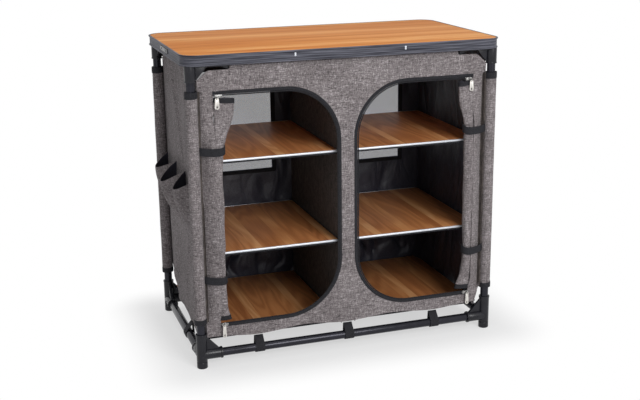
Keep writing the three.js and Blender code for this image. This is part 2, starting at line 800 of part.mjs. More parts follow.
// A tie runs from the leg's side of the panel strip round the front of the roll to its back.
const doorTie = (sign, z0) => {
  const shareAt = (z) => (z - rollBottom) / (rollTop - rollBottom);
  const ends = [z0, z0 + tieWidth].map((z) => rollAt(sign, shareAt(z)));
  const width = Math.max(...ends.map((end) => end.width));
  const front = Math.max(...ends.map((end) => end.forward + end.depth / 2));
  const back = Math.max(...ends.map((end) => end.depth / 2 - end.forward));
  const depth = front + back;
  const centreX = openingOuterEdge - rollEdgeGap - width / 2;
  const centreY = frontOuter + panelThickness / 2 - (front - back) / 2;
  const start = frontOuter - touchGap;
  const side = (proud) => {
    const points = [
      [panelHalfWidth - touchGap, start - proud],
      [openingOuterEdge + rollEdgeGap + depth * tieLeadShare, start - proud],
    ];
    for (let i = 0; i <= arcSteps; i += 1) {
      const angle = (-tieMeetShare - i / arcSteps) * Math.PI;
      points.push([
        centreX + (width / 2 + clothGap + proud) * Math.cos(angle),
        centreY + (depth / 2 + clothGap + proud) * Math.sin(angle),
      ]);
    }
    return points;
  };
  const loop = [...side(0), ...side(tieThickness).reverse()].map(([x, y]) => [sign * x, y]);
  return slabXY(outline(loop), z0, tieWidth);
};

// Shelves

const shelfBoard = (sign, top) => {
  const [x0, x1] = span(sign * shelfInnerEdge, sign * shelfOuterEdge);
  const board = slabXY(roundedRectangle(x0, x1, shelfFront, shelfBack, shelfCornerRadius),
    top - shelfThickness, shelfThickness, cornerSteps);
  const lip = slabXY(roundedRectangle(x0, x1, shelfFront, shelfFront + 2 * shelfCornerRadius,
    shelfCornerRadius), top - shelfThickness, shelfThickness + shelfTrimProud, cornerSteps);
  const behind = box(x0 - overrun, x1 + overrun, shelfFront + shelfTrimDepth, shelfBack,
    top, top + shelfTrimProud + overrun);
  return cut(join(board, lip), behind);
};

// Zippers

// edge is the height of the opening's edge, and up is 1 where the cloth is above it.
const zipPlace = (sign, up) => {
  const x = openingOuterEdge - (up > 0 ? topSliderInset : bottomSliderInset);
  const offset = up > 0 ? topPullerOffset : bottomPullerOffset;
  const edge = up > 0 ? openingTop : openingBottom;
  return {
    x: sign * x,
    edge,
    hingeX: sign * (x + offset),
    hingeY: frontOuter - pullerHingeForward,
    hingeZ: up > 0 ? edge - topHingeDrop : edge + bottomHingeRise,
  };
};

const zipSlider = (sign, up) => {
  const { x, edge, hingeX, hingeY, hingeZ } = zipPlace(sign, up);
  const front = frontOuter - slideGap - sliderPlate;
  const rear = frontInner + slideGap + sliderPlate;
  const half = sliderLength / 2;
  const postInner = pullerEyeLength / 2 + bailGap;
  const body = box(x - half, x + half, front, rear, edge - up * sliderReach, edge + up * sliderGrip);
  const slot = box(x - half - overrun, x + half + overrun, frontOuter - slideGap,
    frontInner + slideGap, edge - up * slideGap, edge + up * (sliderGrip + overrun));
  const posts = [-1, 1].map((end) => box(hingeX + end * postInner, hingeX + end * (postInner + bailPost),
    front + sliderPlate / 2, hingeY - bailBarRadius, hingeZ - bailPost, hingeZ + bailPost));
  const reach = postInner + bailPost / 2;
  const bar = rodX(bailBarRadius, hingeX - reach, hingeX + reach, hingeY, hingeZ, smallSides);
  return join(cut(body, slot), ...posts, bar);
};

const zipPuller = (sign, up) => {
  const { hingeX, hingeY, hingeZ } = zipPlace(sign, up);
  const length = up > 0 ? topPullerLength : bottomPullerLength;
  const half = (up > 0 ? topPullerWidth : bottomPullerWidth) / 2;
  const bottom = hingeZ - length;
  const shoulder = hingeZ - pullerNeck;
  const neckHalf = pullerEyeLength / 2;
  const tab = roundedRectangle(hingeX - half, hingeX + half, bottom, shoulder, pullerEyeRadius);
  const hole = new THREE.Path();
  hole.absarc(hingeX, bottom + pullerHoleEdge, pullerHoleRadius, 0, 2 * Math.PI);
  tab.holes.push(hole);
  const plate = slabXZ(tab, hingeY - pullerThickness / 2, pullerThickness, smallSides);
  const neck = box(hingeX - neckHalf, hingeX + neckHalf, hingeY - pullerThickness / 2,
    hingeY + pullerThickness / 2, shoulder - pullerEyeRadius, hingeZ);
  const eye = rodX(pullerEyeRadius, hingeX - neckHalf, hingeX + neckHalf, hingeY, hingeZ, smallSides);
  const bore = rodX(pullerEyeBore, hingeX - neckHalf - overrun, hingeX + neckHalf + overrun,
    hingeY, hingeZ, smallSides);
  return cut(join(plate, neck, eye), bore);
};

// Assembly

addPiece('worktop_board', worktopBoard(), worktopWood);
addPiece('worktop_rim', worktopRim(), rimMetal);
for (const [name, signX, signY] of corners) {
  addPiece(`top_bracket_${name}`, topBracket(signX, signY), blackPlastic);
  addPiece(`leg_${name}`, legTube(signX, signY), tubeMetal);
  addPiece(`base_connector_${name}`, baseConnector(signX, signY), blackPlastic);
  addPiece(`foot_${name}`, foot(signX, signY), blackPlastic);
}
addPiece('base_tube_front', baseTubeAlongX(-1), tubeMetal);
addPiece('base_tube_back', baseTubeAlongX(1), tubeMetal);
for (const [name, sign] of sides) {
  addPiece(`base_tube_${name}`, baseTubeAlongY(sign), tubeMetal);
  addPiece(`base_strap_${name}`, strapAlongY(sign), webbing);
}
[['left', -1], ['middle', 0], ['right', 1]].forEach(([name, place]) => {
  addPiece(`base_strap_front_${name}`, strapAlongX(-1, place * strapSpacing), webbing);
  addPiece(`base_strap_back_${name}`, strapAlongX(1, place * strapSpacing), webbing);
});
addPiece('front_panel', frontPanel(), greyCloth);
addPiece('back_panel', backPanel(), greyCloth);
addPiece('divider', divider(), webbing);
addPiece('floor_panel', floorPanel(), webbing);
addPiece('side_pockets', sidePockets(), greyCloth);
for (const [name, sign] of sides) {
  addPiece(`side_panel_${name}`, sidePanel(sign), greyCloth);
  addPiece(`mesh_window_${name}`, meshWindow(sign), windowMesh);
  addPiece(`rolled_door_${name}`, rolledDoor(sign), greyCloth);
  addPiece(`door_tie_upper_${name}`, doorTie(sign, rollTop - upperTieDrop), webbing);
  addPiece(`door_tie_lower_${name}`, doorTie(sign, rollBottom + lowerTieRise), webbing);
  addPiece(`shelf_upper_${name}`, shelfBoard(sign, upperShelfTop), shelfWood);
  addPiece(`shelf_middle_${name}`, shelfBoard(sign, middleShelfTop), shelfWood);
  addPiece(`shelf_lower_${name}`, shelfBoard(sign, lowerShelfTop), shelfWood);
  addPiece(`zip_slider_top_${name}`, zipSlider(sign, 1), zipMetal);
  addPiece(`zip_slider_bottom_${name}`, zipSlider(sign, -1), zipMetal);
  addPiece(`zip_puller_top_${name}`, zipPuller(sign, 1), zipMetal);
  addPiece(`zip_puller_bottom_${name}`, zipPuller(sign, -1), zipMetal);
}

export default cupboard;
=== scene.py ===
# A folding camp kitchen cupboard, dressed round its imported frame: a worktop in a metal rim, tube
# legs and base tubes, a cloth cupboard with two rolled doors, shelf boards, pockets and zippers.
# Metres, +Z up, the front faces -Y. Sizes come from the frame's boxes and the values below.
from math import acos, atan2, copysign, cos, dist, exp, hypot, pi, radians, sin

import bmesh
import bpy
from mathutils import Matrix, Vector, noise


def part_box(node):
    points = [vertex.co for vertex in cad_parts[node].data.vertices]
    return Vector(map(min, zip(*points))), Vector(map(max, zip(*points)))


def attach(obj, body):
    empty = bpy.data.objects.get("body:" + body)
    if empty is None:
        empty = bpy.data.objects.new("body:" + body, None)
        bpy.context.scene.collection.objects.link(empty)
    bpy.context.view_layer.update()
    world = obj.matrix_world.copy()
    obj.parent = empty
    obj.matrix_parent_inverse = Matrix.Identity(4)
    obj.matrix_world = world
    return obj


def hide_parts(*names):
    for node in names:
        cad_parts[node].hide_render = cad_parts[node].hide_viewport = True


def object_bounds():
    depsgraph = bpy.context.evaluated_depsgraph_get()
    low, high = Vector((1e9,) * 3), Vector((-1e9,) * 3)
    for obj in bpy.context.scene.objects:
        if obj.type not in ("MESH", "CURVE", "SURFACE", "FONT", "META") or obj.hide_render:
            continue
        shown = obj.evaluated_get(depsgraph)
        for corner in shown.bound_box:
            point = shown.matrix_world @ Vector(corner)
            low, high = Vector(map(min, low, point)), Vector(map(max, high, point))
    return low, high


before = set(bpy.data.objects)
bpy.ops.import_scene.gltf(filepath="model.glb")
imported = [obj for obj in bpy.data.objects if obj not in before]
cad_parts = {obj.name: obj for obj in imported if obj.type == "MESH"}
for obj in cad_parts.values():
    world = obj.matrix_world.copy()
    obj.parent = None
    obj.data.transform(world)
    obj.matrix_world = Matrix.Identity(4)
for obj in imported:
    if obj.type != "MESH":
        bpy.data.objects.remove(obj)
cad_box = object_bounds()
bpy.ops.object.select_all(action="DESELECT")

MM = 0.001


def mm(*lengths):
    return [length * MM for length in lengths]


SIDES = (("left", -1), ("right", 1))
CORNERS = (("front_left", -1, -1), ("front_right", 1, -1),
           ("back_left", -1, 1), ("back_right", 1, 1))
ROUND = 48  # sides of a tube

# Places that the frame gives
leg_low, leg_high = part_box("leg_front_right")
LEG_X, LEG_Y = (leg_low.x + leg_high.x) / 2, -(leg_low.y + leg_high.y) / 2
LEG_RADIUS = (leg_high.x - leg_low.x) / 2
rim_low, rim_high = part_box("worktop_rim")
panel_low, panel_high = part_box("front_panel")
FRONT_Y, BACK_Y = panel_low.y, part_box("back_panel")[1].y
PANEL_HALF, PANEL_TOP = panel_high.x, panel_high.z  # the side panels' plane is at PANEL_HALF
PANEL_MIDDLE = (panel_low.y + panel_high.y) / 2
SIDE_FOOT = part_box("side_panel_right")[0].z
floor_low, floor_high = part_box("floor_panel")
divider_low, divider_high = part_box("divider")
pocket_low, pocket_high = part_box("side_pockets")
roll_low, roll_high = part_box("rolled_door_right")
tube_low, tube_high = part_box("base_tube_front")
TUBE_HEIGHT = (tube_low.z + tube_high.z) / 2
STRAP_SPACING = sum(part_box("base_strap_front_right"), Vector()).x / 2

# Cloth
CLOTH, SINGLE_CLOTH, THIN_CLOTH = mm(2.4, 1.6, 0.9)
CELL = 5 * MM  # of the panels' grids
HEM_HEIGHT, HEM_SWING, HEM_DROP = mm(77, 5, 9)  # the drop is the back panel's

# Door openings: a D on its straight outer edge
OPENING_INNER, OPENING_OUTER = 24 * MM, roll_high.x + 0.5 * MM
OPENING_TOP, OPENING_BOTTOM = mm(712, 112)
OPENING_TOP_RADIUS, OPENING_BOTTOM_RADIUS = mm(140, 148)


# Camera, floor and lamps

CAMERA_PLACE = (-0.9343, -2.7898, 1.1809)
CAMERA_AZIMUTH, CAMERA_ELEVATION, CAMERA_ROLL = -18.44, 15.73, -0.7  # degrees
CAMERA_LENS = 61.58
LAMPS = (("key_lamp", (0.68, -3.45, 2.1), 1.7, 85),  # place, size and watts
         ("fill_lamp", (-2.8, -1.8, 1.6), 2.2, 3),
         ("top_lamp", (-0.2, 0.3, 3.2), 2.4, 24))
LAMP_AIM = Vector((0, 0, 0.4))
WORLD_LIGHT = 0.28
FLOOR_SIZE = 60
FLOOR_LIFT = 0.58  # of white, where the camera or a reflection sees the floor
FLOOR_FADE = 0.18  # from the cupboard to where the floor is plain white


def make_camera():
    azimuth, elevation = radians(CAMERA_AZIMUTH), radians(CAMERA_ELEVATION)
    ahead = Vector((-sin(azimuth) * cos(elevation), cos(azimuth) * cos(elevation),
                    -sin(elevation)))
    bpy.ops.object.camera_add(location=CAMERA_PLACE)
    camera = bpy.context.object
    camera.rotation_euler = ahead.to_track_quat("-Z", "Y").to_euler()
    camera.rotation_euler.rotate_axis("Z", radians(CAMERA_ROLL))
    camera.data.lens = CAMERA_LENS
    camera.data.clip_end = 60
    bpy.context.scene.camera = camera


def make_lamp(name, place, size, power):
    bpy.ops.object.light_add(type="AREA", location=place)
    light = bpy.context.object
    light.name = name
    light.data.size = size
    light.data.energy = power
    light.rotation_euler = (LAMP_AIM - Vector(place)).to_track_quat("-Z", "Y").to_euler()


def seen_rays(tree):
    """1 where the camera, a reflection or a clear surface looks, and 0 for light."""
    rays = add(tree, "ShaderNodeLightPath", {}).outputs
    seen = maths(tree, "MAXIMUM", rays["Is Camera Ray"], rays["Is Glossy Ray"])
    return maths(tree, "MAXIMUM", seen, rays["Is Transmission Ray"])


def make_studio():
    """White surroundings that look brighter than they shine, the lamps and the floor."""
    bpy.context.scene.view_settings.view_transform = "Standard"
    world = bpy.data.worlds.new("studio")
    bpy.context.scene.world = world
    world.use_nodes = True
    tree = world.node_tree
    sky = tree.nodes["Background"]
    level = ranged(tree, seen_rays(tree), (0, 1), (WORLD_LIGHT, 1))
    tree.links.new(level, sky.inputs["Strength"])
    sky.inputs["Color"].default_value = (1, 1, 1, 1)
    for lamp in LAMPS:
        make_lamp(*lamp)
    make_floor()


def make_floor():
    """White floor with the shadow, which turns plain white away from the cupboard."""
    bpy.ops.mesh.primitive_plane_add(size=FLOOR_SIZE)
    ground = named("studio_floor")
    finish, tree, shader = new_finish("studio_floor", 0.7, gloss=0.1)
    shader.inputs["Base Color"].default_value = linear(238, 238, 239)
    away = own_place(tree)
    for operation, *other in (("ABSOLUTE",), ("SUBTRACT", cad_box[1]), ("MAXIMUM", (0, 0, 0))):
        away = maths(tree, operation, away, *other, kind="ShaderNodeVectorMath")
    reach = add(tree, "ShaderNodeVectorMath", {0: away}, operation="LENGTH").outputs["Value"]
    lift = ranged(tree, reach, (0, FLOOR_FADE), (FLOOR_LIFT, 1), "SMOOTHSTEP")
    lift = maths(tree, "MULTIPLY", lift, seen_rays(tree))
    glow = add(tree, "ShaderNodeEmission", {"Color": (1, 1, 1, 1)})
    mixed = add(tree, "ShaderNodeMixShader", {0: lift, 1: shader.outputs[0], 2: glow.outputs[0]})
    tree.links.new(mixed.outputs[0], tree.nodes["Material Output"].inputs["Surface"])
    finished(ground, finish)


# Modelling helpers

def alone(obj):
    """Back to object mode, with only this object selected and active."""
    if bpy.context.mode != "OBJECT":
        object_mode()
    bpy.ops.object.select_all(action="DESELECT")
    bpy.context.view_layer.objects.active = obj
    obj.select_set(True)


def object_mode():
    bpy.ops.object.mode_set(mode="OBJECT")


def named(name):
    """Names the object that was just added and moves its place into its mesh."""
    obj = bpy.context.object
    obj.name = name
    obj.data.name = name
    bpy.ops.object.transform_apply(location=True, rotation=True, scale=True)
    return obj


def apply_all(obj):
    alone(obj)
    for modifier in list(obj.modifiers):
        bpy.ops.object.modifier_apply(modifier=modifier.name)


def bevelled(obj, width, segments=3, angle=35):
    edge = obj.modifiers.new("bevel", "BEVEL")
    edge.width = width
    edge.segments = segments
    edge.limit_method = "ANGLE"
    edge.angle_limit = radians(angle)
    edge.use_clamp_overlap = True
    apply_all(obj)
    return obj


def smoothed(obj, angle=35):
    alone(obj)
    bpy.ops.object.shade_smooth_by_angle(angle=radians(angle))
    return obj


def joined(name, pieces):
    """Makes one object of several."""
    alone(pieces[0])
    for piece in pieces:
        piece.select_set(True)
    bpy.ops.object.join()
    return named(name)


def carved(obj, tools):
    """Cuts the tools out of an object and removes them."""
    for tool in tools:
        carving = obj.modifiers.new("carve", "BOOLEAN")
        carving.operation = "DIFFERENCE"
        carving.object = tool
        carving.solver = "EXACT"
    apply_all(obj)
    for tool in tools:
        bpy.data.objects.remove(tool)
    return obj


def pick(obj, kind, test=lambda part: True):
    """Edit mode on one object, with the verts, edges or faces selected that pass the test."""
    alone(obj)
    bpy.ops.object.mode_set(mode="EDIT")
    bpy.ops.mesh.select_mode(type=kind)
    bpy.ops.mesh.select_all(action="DESELECT")
    mesh = bmesh.from_edit_mesh(obj.data)
    parts = {"VERT": mesh.verts, "EDGE": mesh.edges, "FACE": mesh.faces}[kind]
    for part in parts:
        part.select_set(test(part))
    mesh.select_flush_mode()
    bmesh.update_edit_mesh(obj.data)


def outward(obj):
    """Closes doubled seams and turns the faces outwards."""
    pick(obj, "VERT")
    bpy.ops.mesh.remove_doubles(threshold=0.01 * MM)
    bpy.ops.mesh.normals_make_consistent(inside=False)
    object_mode()
    return obj


def rounded(obj, axis, radius, segments, length=MM):
    """Rounds the edges that are longer than a length along an axis."""
    pick(obj, "EDGE", lambda edge: abs(edge.verts[0].co[axis] - edge.verts[1].co[axis]) > length)
    bpy.ops.mesh.bevel(offset=radius, segments=segments)
    object_mode()
    return obj


def holed(obj, test):
    """Cuts the faces out of an upright sheet whose centres pass a test on x and z."""
    pick(obj, "FACE", lambda face: test(*face.calc_center_median().xz))
    bpy.ops.mesh.delete(type="FACE")
    object_mode()
    return obj


def rod(name, start, end, radius, sides=ROUND):
    start, end = Vector(start), Vector(end)
    bpy.ops.mesh.primitive_cylinder_add(
        vertices=sides, radius=radius, depth=(end - start).length, location=(start + end) / 2,
        rotation=(end - start).to_track_quat("Z", "Y").to_euler())
    return named(name)


def block(name, corner, opposite):
    low = Vector(min(a, b) for a, b in zip(corner, opposite))
    high = Vector(max(a, b) for a, b in zip(corner, opposite))
    bpy.ops.mesh.primitive_cube_add(size=1, location=(low + high) / 2, scale=high - low)
    return named(name)


def plate(name, outline, way):
    """A flat outline, placed corner by corner, then extruded along a vector."""
    bpy.ops.mesh.primitive_circle_add(vertices=len(outline), fill_type="NGON")
    obj = named(name)
    for vertex, place in zip(obj.data.vertices, outline):
        vertex.co = place
    pick(obj, "FACE")
    bpy.ops.mesh.extrude_region_move(TRANSFORM_OT_translate={"value": way})
    return outward(obj)


def laid(name, columns, rows, place):
    """A grid whose points lie where place(u, v) says, with u and v from 0 to 1."""
    bpy.ops.mesh.primitive_grid_add(x_subdivisions=columns, y_subdivisions=rows, size=1)
    obj = named(name)
    for vertex in obj.data.vertices:
        vertex.co = place(vertex.co.x + 0.5, vertex.co.y + 0.5)
    return obj


def finished(obj, *finishes):
    for finish in finishes:
        obj.data.materials.append(finish)


def thickened(obj, thickness, finishes=(), offset=-1):
    """Gives a sheet its thickness, behind its face unless the offset says otherwise, and its
    inner side its own finish."""
    finished(obj, *finishes)
    wall = obj.modifiers.new("thickness", "SOLIDIFY")
    wall.thickness = thickness
    wall.offset = offset
    wall.use_even_offset = False
    wall.material_offset = 1 if len(finishes) > 1 else 0
    apply_all(obj)
    return smoothed(obj, 60)


def dressed(obj, finishes=(), node=None, body="cupboard"):
    """Gives a piece its finishes, hides the CAD node it stands for and attaches it to its body."""
    finished(obj, *finishes)
    if node:
        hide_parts(node)
    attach(obj, body)
    return obj


# Finishes

def linear(*shades):
    """A colour from its 8-bit shades, for a shader."""
    return [(((s / 255) + 0.055) / 1.055) ** 2.4 if s > 10 else s / 255 / 12.92
            for s in shades] + [1]


def add(tree, kind, inputs, **settings):
    made = tree.nodes.new(kind)
    for key, value in settings.items():
        setattr(made, key, value)
    for key, value in inputs.items():
        if isinstance(value, bpy.types.NodeSocket):
            tree.links.new(value, made.inputs[key])
        else:
            made.inputs[key].default_value = value
    return made


def maths(tree, operation, *values, kind="ShaderNodeMath"):
    return add(tree, kind, dict(enumerate(values)), operation=operation).outputs[0]


def ranged(tree, value, source, target=(0, 1), kind="LINEAR"):
    """A number moved from one range to another."""
    return add(tree, "ShaderNodeMapRange", {
        "Value": value, "From Min": source[0], "From Max": source[1],
        "To Min": target[0], "To Max": target[1]}, interpolation_type=kind).outputs[0]


def new_finish(name, roughness, metallic=0.0, gloss=0.5):
    finish = bpy.data.materials.new(name)
    finish.use_nodes = True
    shader = finish.node_tree.nodes["Principled BSDF"]
    shader.inputs["Roughness"].default_value = roughness
    shader.inputs["Metallic"].default_value = metallic
    shader.inputs["Specular IOR Level"].default_value = gloss
    return finish, finish.node_tree, shader


def own_place(tree):
    return add(tree, "ShaderNodeTexCoord", {}).outputs["Object"]


def stretched(tree, scale):
    return add(tree, "ShaderNodeMapping", {"Vector": own_place(tree), "Scale": scale}).outputs[0]


def spots(tree, scale, detail=2.0, distortion=0.0):
    """Noise on the object's own coordinates, stretched by the scale along each axis."""
    return add(tree, "ShaderNodeTexNoise", {
        "Vector": stretched(tree, scale), "Scale": 1.0, "Detail": detail,
        "Distortion": distortion}).outputs[0]


def waves(tree, pitch):
    """Fine ribs across each axis, one rib a pitch."""
    x, y, z = (maths(tree, "SINE", maths(tree, "MULTIPLY", part, 2 * pi / pitch))
               for part in add(tree, "ShaderNodeSeparateXYZ", {0: own_place(tree)}).outputs)
    return maths(tree, "MULTIPLY", maths(tree, "ADD", x, y), z)


def blended(tree, a, b, share):
    """The weighted mean of two numbers."""
    return maths(tree, "MULTIPLY_ADD", b, share, maths(tree, "MULTIPLY", a, 1 - share))


def shaded(tree, factor, stops, interpolation="LINEAR"):
    made = add(tree, "ShaderNodeValToRGB", {0: factor})
    made.color_ramp.interpolation = interpolation
    elements = made.color_ramp.elements
    elements.remove(elements[1])
    elements[0].position, elements[0].color = stops[0]
    for position, colour in stops[1:]:
        elements.new(position).color = colour
    return made.outputs[0]


def coloured(tree, shader, factor, *stops):
    """Base colour along a ramp, whose stops are a share and three 8-bit shades each."""
    colour = shaded(tree, factor, [(share, linear(*shades)) for share, *shades in stops])
    tree.links.new(colour, shader.inputs["Base Color"])


def bumped(tree, shader, height, depth, strength=0.6):
    bump = add(tree, "ShaderNodeBump", {"Height": height, "Distance": depth, "Strength": strength})
    tree.links.new(bump.outputs[0], shader.inputs["Normal"])


def melange_cloth():
    """Grey cloth of light and dark threads, with thick places along and across."""
    finish, tree, shader = new_finish("melange_cloth", 0.93, gloss=0.25)
    upright, level = spots(tree, (620, 620, 85), 3), spots(tree, (85, 85, 620), 3)
    threads = blended(tree, upright, level, 0.54)
    pattern = blended(tree, threads, spots(tree, (420, 420, 420), 2), 0.3)
    pattern = blended(tree, pattern, spots(tree, (9, 9, 9), 3), 0.1)
    coloured(tree, shader, pattern, (0.37, 60, 56, 57), (0.47, 114, 107, 108),
             (0.54, 140, 133, 134), (0.65, 200, 193, 194))
    shader.inputs["Sheen Weight"].default_value = 0.1
    bumped(tree, shader, blended(tree, threads, waves(tree, 1.7 * MM), 0.2), 0.6 * MM)
    return finish


def lining_cloth():
    """Black coated lining with a faint weave, broad creases and a dull shine."""
    finish, tree, shader = new_finish("lining_cloth", 0.36)
    grain, creases = spots(tree, (700, 700, 700), 2), spots(tree, (19, 19, 8), 2, 1.2)
    coloured(tree, shader, grain, (0.35, 42, 42, 51), (0.65, 68, 69, 82))
    fine = blended(tree, grain, waves(tree, 1.2 * MM), 0.3)
    bumped(tree, shader, blended(tree, creases, fine, 0.02), 10 * MM, 0.5)
    return finish


def shaded_melange_cloth():
    """Melange cloth darkened as painted shade, for the divider walls and the gaps beside the legs.
    """
    finish, tree, shader = new_finish("shaded_melange_cloth", 0.9)
    threads = blended(tree, spots(tree, (420, 420, 60), 3), spots(tree, (60, 60, 420), 3), 0.35)
    coloured(tree, shader, threads, (0.4, 40, 36, 34), (0.6, 86, 78, 74))
    bumped(tree, shader, threads, 0.5 * MM)
    return finish


def webbing():
    """Black ribbed tape."""
    finish, tree, shader = new_finish("webbing", 0.8, gloss=0.3)
    grain = spots(tree, (500, 500, 500), 2)
    coloured(tree, shader, grain, (0.35, 22, 22, 25), (0.65, 42, 42, 47))
    bumped(tree, shader, blended(tree, grain, waves(tree, 2.1 * MM), 0.6), 0.4 * MM)
    return finish


def window_net():
    """Fine grey net that some light comes through."""
    finish, tree, shader = new_finish("window_net", 0.8)
    coloured(tree, shader, spots(tree, (30, 30, 30), 2), (0.3, 109, 115, 144),
             (0.7, 125, 131, 161))
    cover = ranged(tree, waves(tree, 1.5 * MM), (-1, 1), (0.34, 0.64))
    tree.links.new(cover, shader.inputs["Alpha"])
    return finish


def contours(tree, vector, count):
    """Lines of equal height in smooth noise, as growth rings show in a sawn board."""
    field = add(tree, "ShaderNodeTexNoise", {
        "Vector": vector, "Scale": 1.0, "Detail": 1.5, "Roughness": 0.45}).outputs[0]
    return ranged(tree, maths(tree, "SINE", maths(tree, "MULTIPLY", field, 2 * pi * count)),
                  (-1, 1))


def worktop_wood():
    """Honey-coloured laminate with long stripes from left to right."""
    finish, tree, shader = new_finish("worktop_wood", 0.6, gloss=0.1)
    rings = contours(tree, stretched(tree, (1.1, 15, 1)), 7)
    stripes, fine = spots(tree, (0.7, 21, 1), 2, 0.3), spots(tree, (8, 520, 1), 4, 0.4)
    pattern = blended(tree, blended(tree, stripes, rings, 0.1), fine, 0.3)
    coloured(tree, shader, pattern, (0.35, 190, 108, 43), (0.455, 211, 132, 63),
             (0.545, 218, 143, 74), (0.655, 236, 172, 106))
    bumped(tree, shader, fine, 0.05 * MM, 0.3)
    return finish


PLANK_SET = 0.33  # after which the planks repeat
PLANK_SHARES = ((0, 0.45), (0.2, 0.36), (0.27, 0.72), (0.34, 0.44), (0.6, 0.52), (0.66, 0.7),
                (0.73, 0.4), (0.92, 0.6))  # start and tone
STOREY_SHARE, STOREY_SHIFT = 4.6, 0.137  # the planks lie differently on each shelf


def shelf_wood():
    """Brown laminate printed as planks that run from front to back."""
    finish, tree, shader = new_finish("shelf_wood", 0.45, gloss=0.3)
    x, y, z = add(tree, "ShaderNodeSeparateXYZ", {0: own_place(tree)}).outputs
    storey = maths(tree, "FLOOR", maths(tree, "MULTIPLY", z, STOREY_SHARE))
    moved = maths(tree, "MULTIPLY_ADD", storey, STOREY_SHIFT, x)
    share = maths(tree, "FRACT", maths(tree, "MULTIPLY", moved, 1 / PLANK_SET))
    planks = shaded(tree, share, [(start, [tone] * 3 + [1]) for start, tone in PLANK_SHARES],
                    "CONSTANT")
    point = add(tree, "ShaderNodeCombineXYZ", {
        0: maths(tree, "MULTIPLY", x, 13.0), 1: maths(tree, "MULTIPLY", y, 2.1),
        2: maths(tree, "MULTIPLY", planks, 23.0)}).outputs[0]
    fine = spots(tree, (520, 10, 1), 4)
    grain = blended(tree, contours(tree, point, 9), fine, 0.6)
    coloured(tree, shader, blended(tree, planks, grain, 0.32), (0.3, 162, 98, 56),
             (0.48, 196, 128, 78), (0.62, 216, 150, 96), (0.8, 238, 182, 128))
    bumped(tree, shader, fine, 0.05 * MM, 0.3)
    return finish


def brushed_metal(name, dark, light, roughness, metallic, scale, gloss=0.5):
    """Extruded or drawn metal with fine lines along its length."""
    finish, tree, shader = new_finish(name, roughness, metallic, gloss)
    lines = spots(tree, scale, 3)
    coloured(tree, shader, lines, (0.35, *dark), (0.68, *light))
    level = ranged(tree, lines, (0.3, 0.7), (roughness - 0.05, roughness + 0.07))
    tree.links.new(level, shader.inputs["Roughness"])
    return finish


def moulded_plastic():
    """Black plastic with the fine grain of its mould."""
    finish, tree, shader = new_finish("moulded_plastic", 0.26, gloss=0.3)
    coloured(tree, shader, spots(tree, (30, 30, 30), 2), (0.3, 24, 24, 29), (0.7, 34, 34, 40))
    bumped(tree, shader, spots(tree, (900, 900, 900), 2), 0.05 * MM, 0.3)
    return finish


MELANGE = melange_cloth()
LINING = lining_cloth()
# the melange cloth darkened as painted shade
SHADED_MELANGE = shaded_melange_cloth()
WEBBING = webbing()
NET = window_net()
TOP_WOOD = worktop_wood()
SHELF_WOOD = shelf_wood()
PLASTIC = moulded_plastic()
RIM_METAL = brushed_metal("rim_metal", (45, 45, 53), (116, 117, 127), 0.45, 0.08, (9, 9, 620), 0.1)
TUBE_METAL = brushed_metal("tube_metal", (34, 34, 41), (45, 45, 53), 0.2, 0.4, (18, 18, 18), 0.3)
TRIM_METAL = brushed_metal("trim_metal", (206, 210, 217), (226, 229, 235), 0.34, 0.35,
                           (5, 400, 400))
TAG_METAL = brushed_metal("tag_metal", (196, 192, 186), (232, 228, 222), 0.3, 0.5, (400, 400, 60))
ZIP_METAL = brushed_metal("zip_metal", (112, 111, 110), (178, 176, 174), 0.28, 0.85,
                          (400, 400, 400))


# Worktop

RIM_CORNER, RIM_LIP, RIM_WALL = mm(44, 2.5, 2)
RIM_STEPS = 14  # in a corner
RIM_FOOT = ((1.1, 0), (0.5, 0.6), (0.5, 2.8), (1.1, 3.5), (2.5, 4.2))  # mm inwards and up
GROOVES = (7.4, 11.2, 15.0)  # mm up
GROOVE_HALF, BAND_INSET, GROOVE_INSET = 0.8, 2.5, 3.2  # mm
RIM_HEAD = (  # mm inwards and down from the top
    (2.5, 4.6), (0.6, 3.7), (0, 3), (0, 1.2), (0.5, 0.4), (1.4, 0), (3.9, 0), (4.5, 0.5),
    (4.5, 14.4), (19.5, 14.4), (19.5, 16.7), (4.5, 16.7))
RIM_FLANGE = ((4.5, 2.4), (23.5, 2.4), (23.5, 0))  # mm inwards and up
RIVETS, RIVET_HEIGHTS, RIVET_RADIUS = mm(-142, 150), mm(797, 801.5), 2.7 * MM
CATCH_LOW, CATCH_HIGH = mm(-59, 792), mm(38, 803)  # along the rim's left side
CATCH_PINS, PIN_HEIGHT = mm(-38, 17), 797.5 * MM


def rim_section():
    """Distances in from the outermost edge, and heights, from the foot round to the flange."""
    band = []
    for start in GROOVES:
        band += [(BAND_INSET, start - GROOVE_HALF), (GROOVE_INSET, start),
                 (BAND_INSET, start + GROOVE_HALF)]
    return [(inset * MM, rim_low.z + up * MM) for inset, up in (*RIM_FOOT, *band)] + [
        (inset * MM, rim_high.z - down * MM) for inset, down in RIM_HEAD] + [
        (inset * MM, rim_low.z + up * MM) for inset, up in RIM_FLANGE]


def rim_path():
    """Corner centres with outward directions, once round the worktop."""
    x, y = rim_high.x - RIM_CORNER, rim_high.y - RIM_CORNER
    path = []
    for quarter, (sign_x, sign_y) in enumerate(((1, 1), (-1, 1), (-1, -1), (1, -1))):
        for turn in range(RIM_STEPS + 1):
            angle = (quarter + turn / RIM_STEPS) * pi / 2
            path.append((Vector((sign_x * x, sign_y * y, 0)), Vector((cos(angle), sin(angle), 0))))
    return path


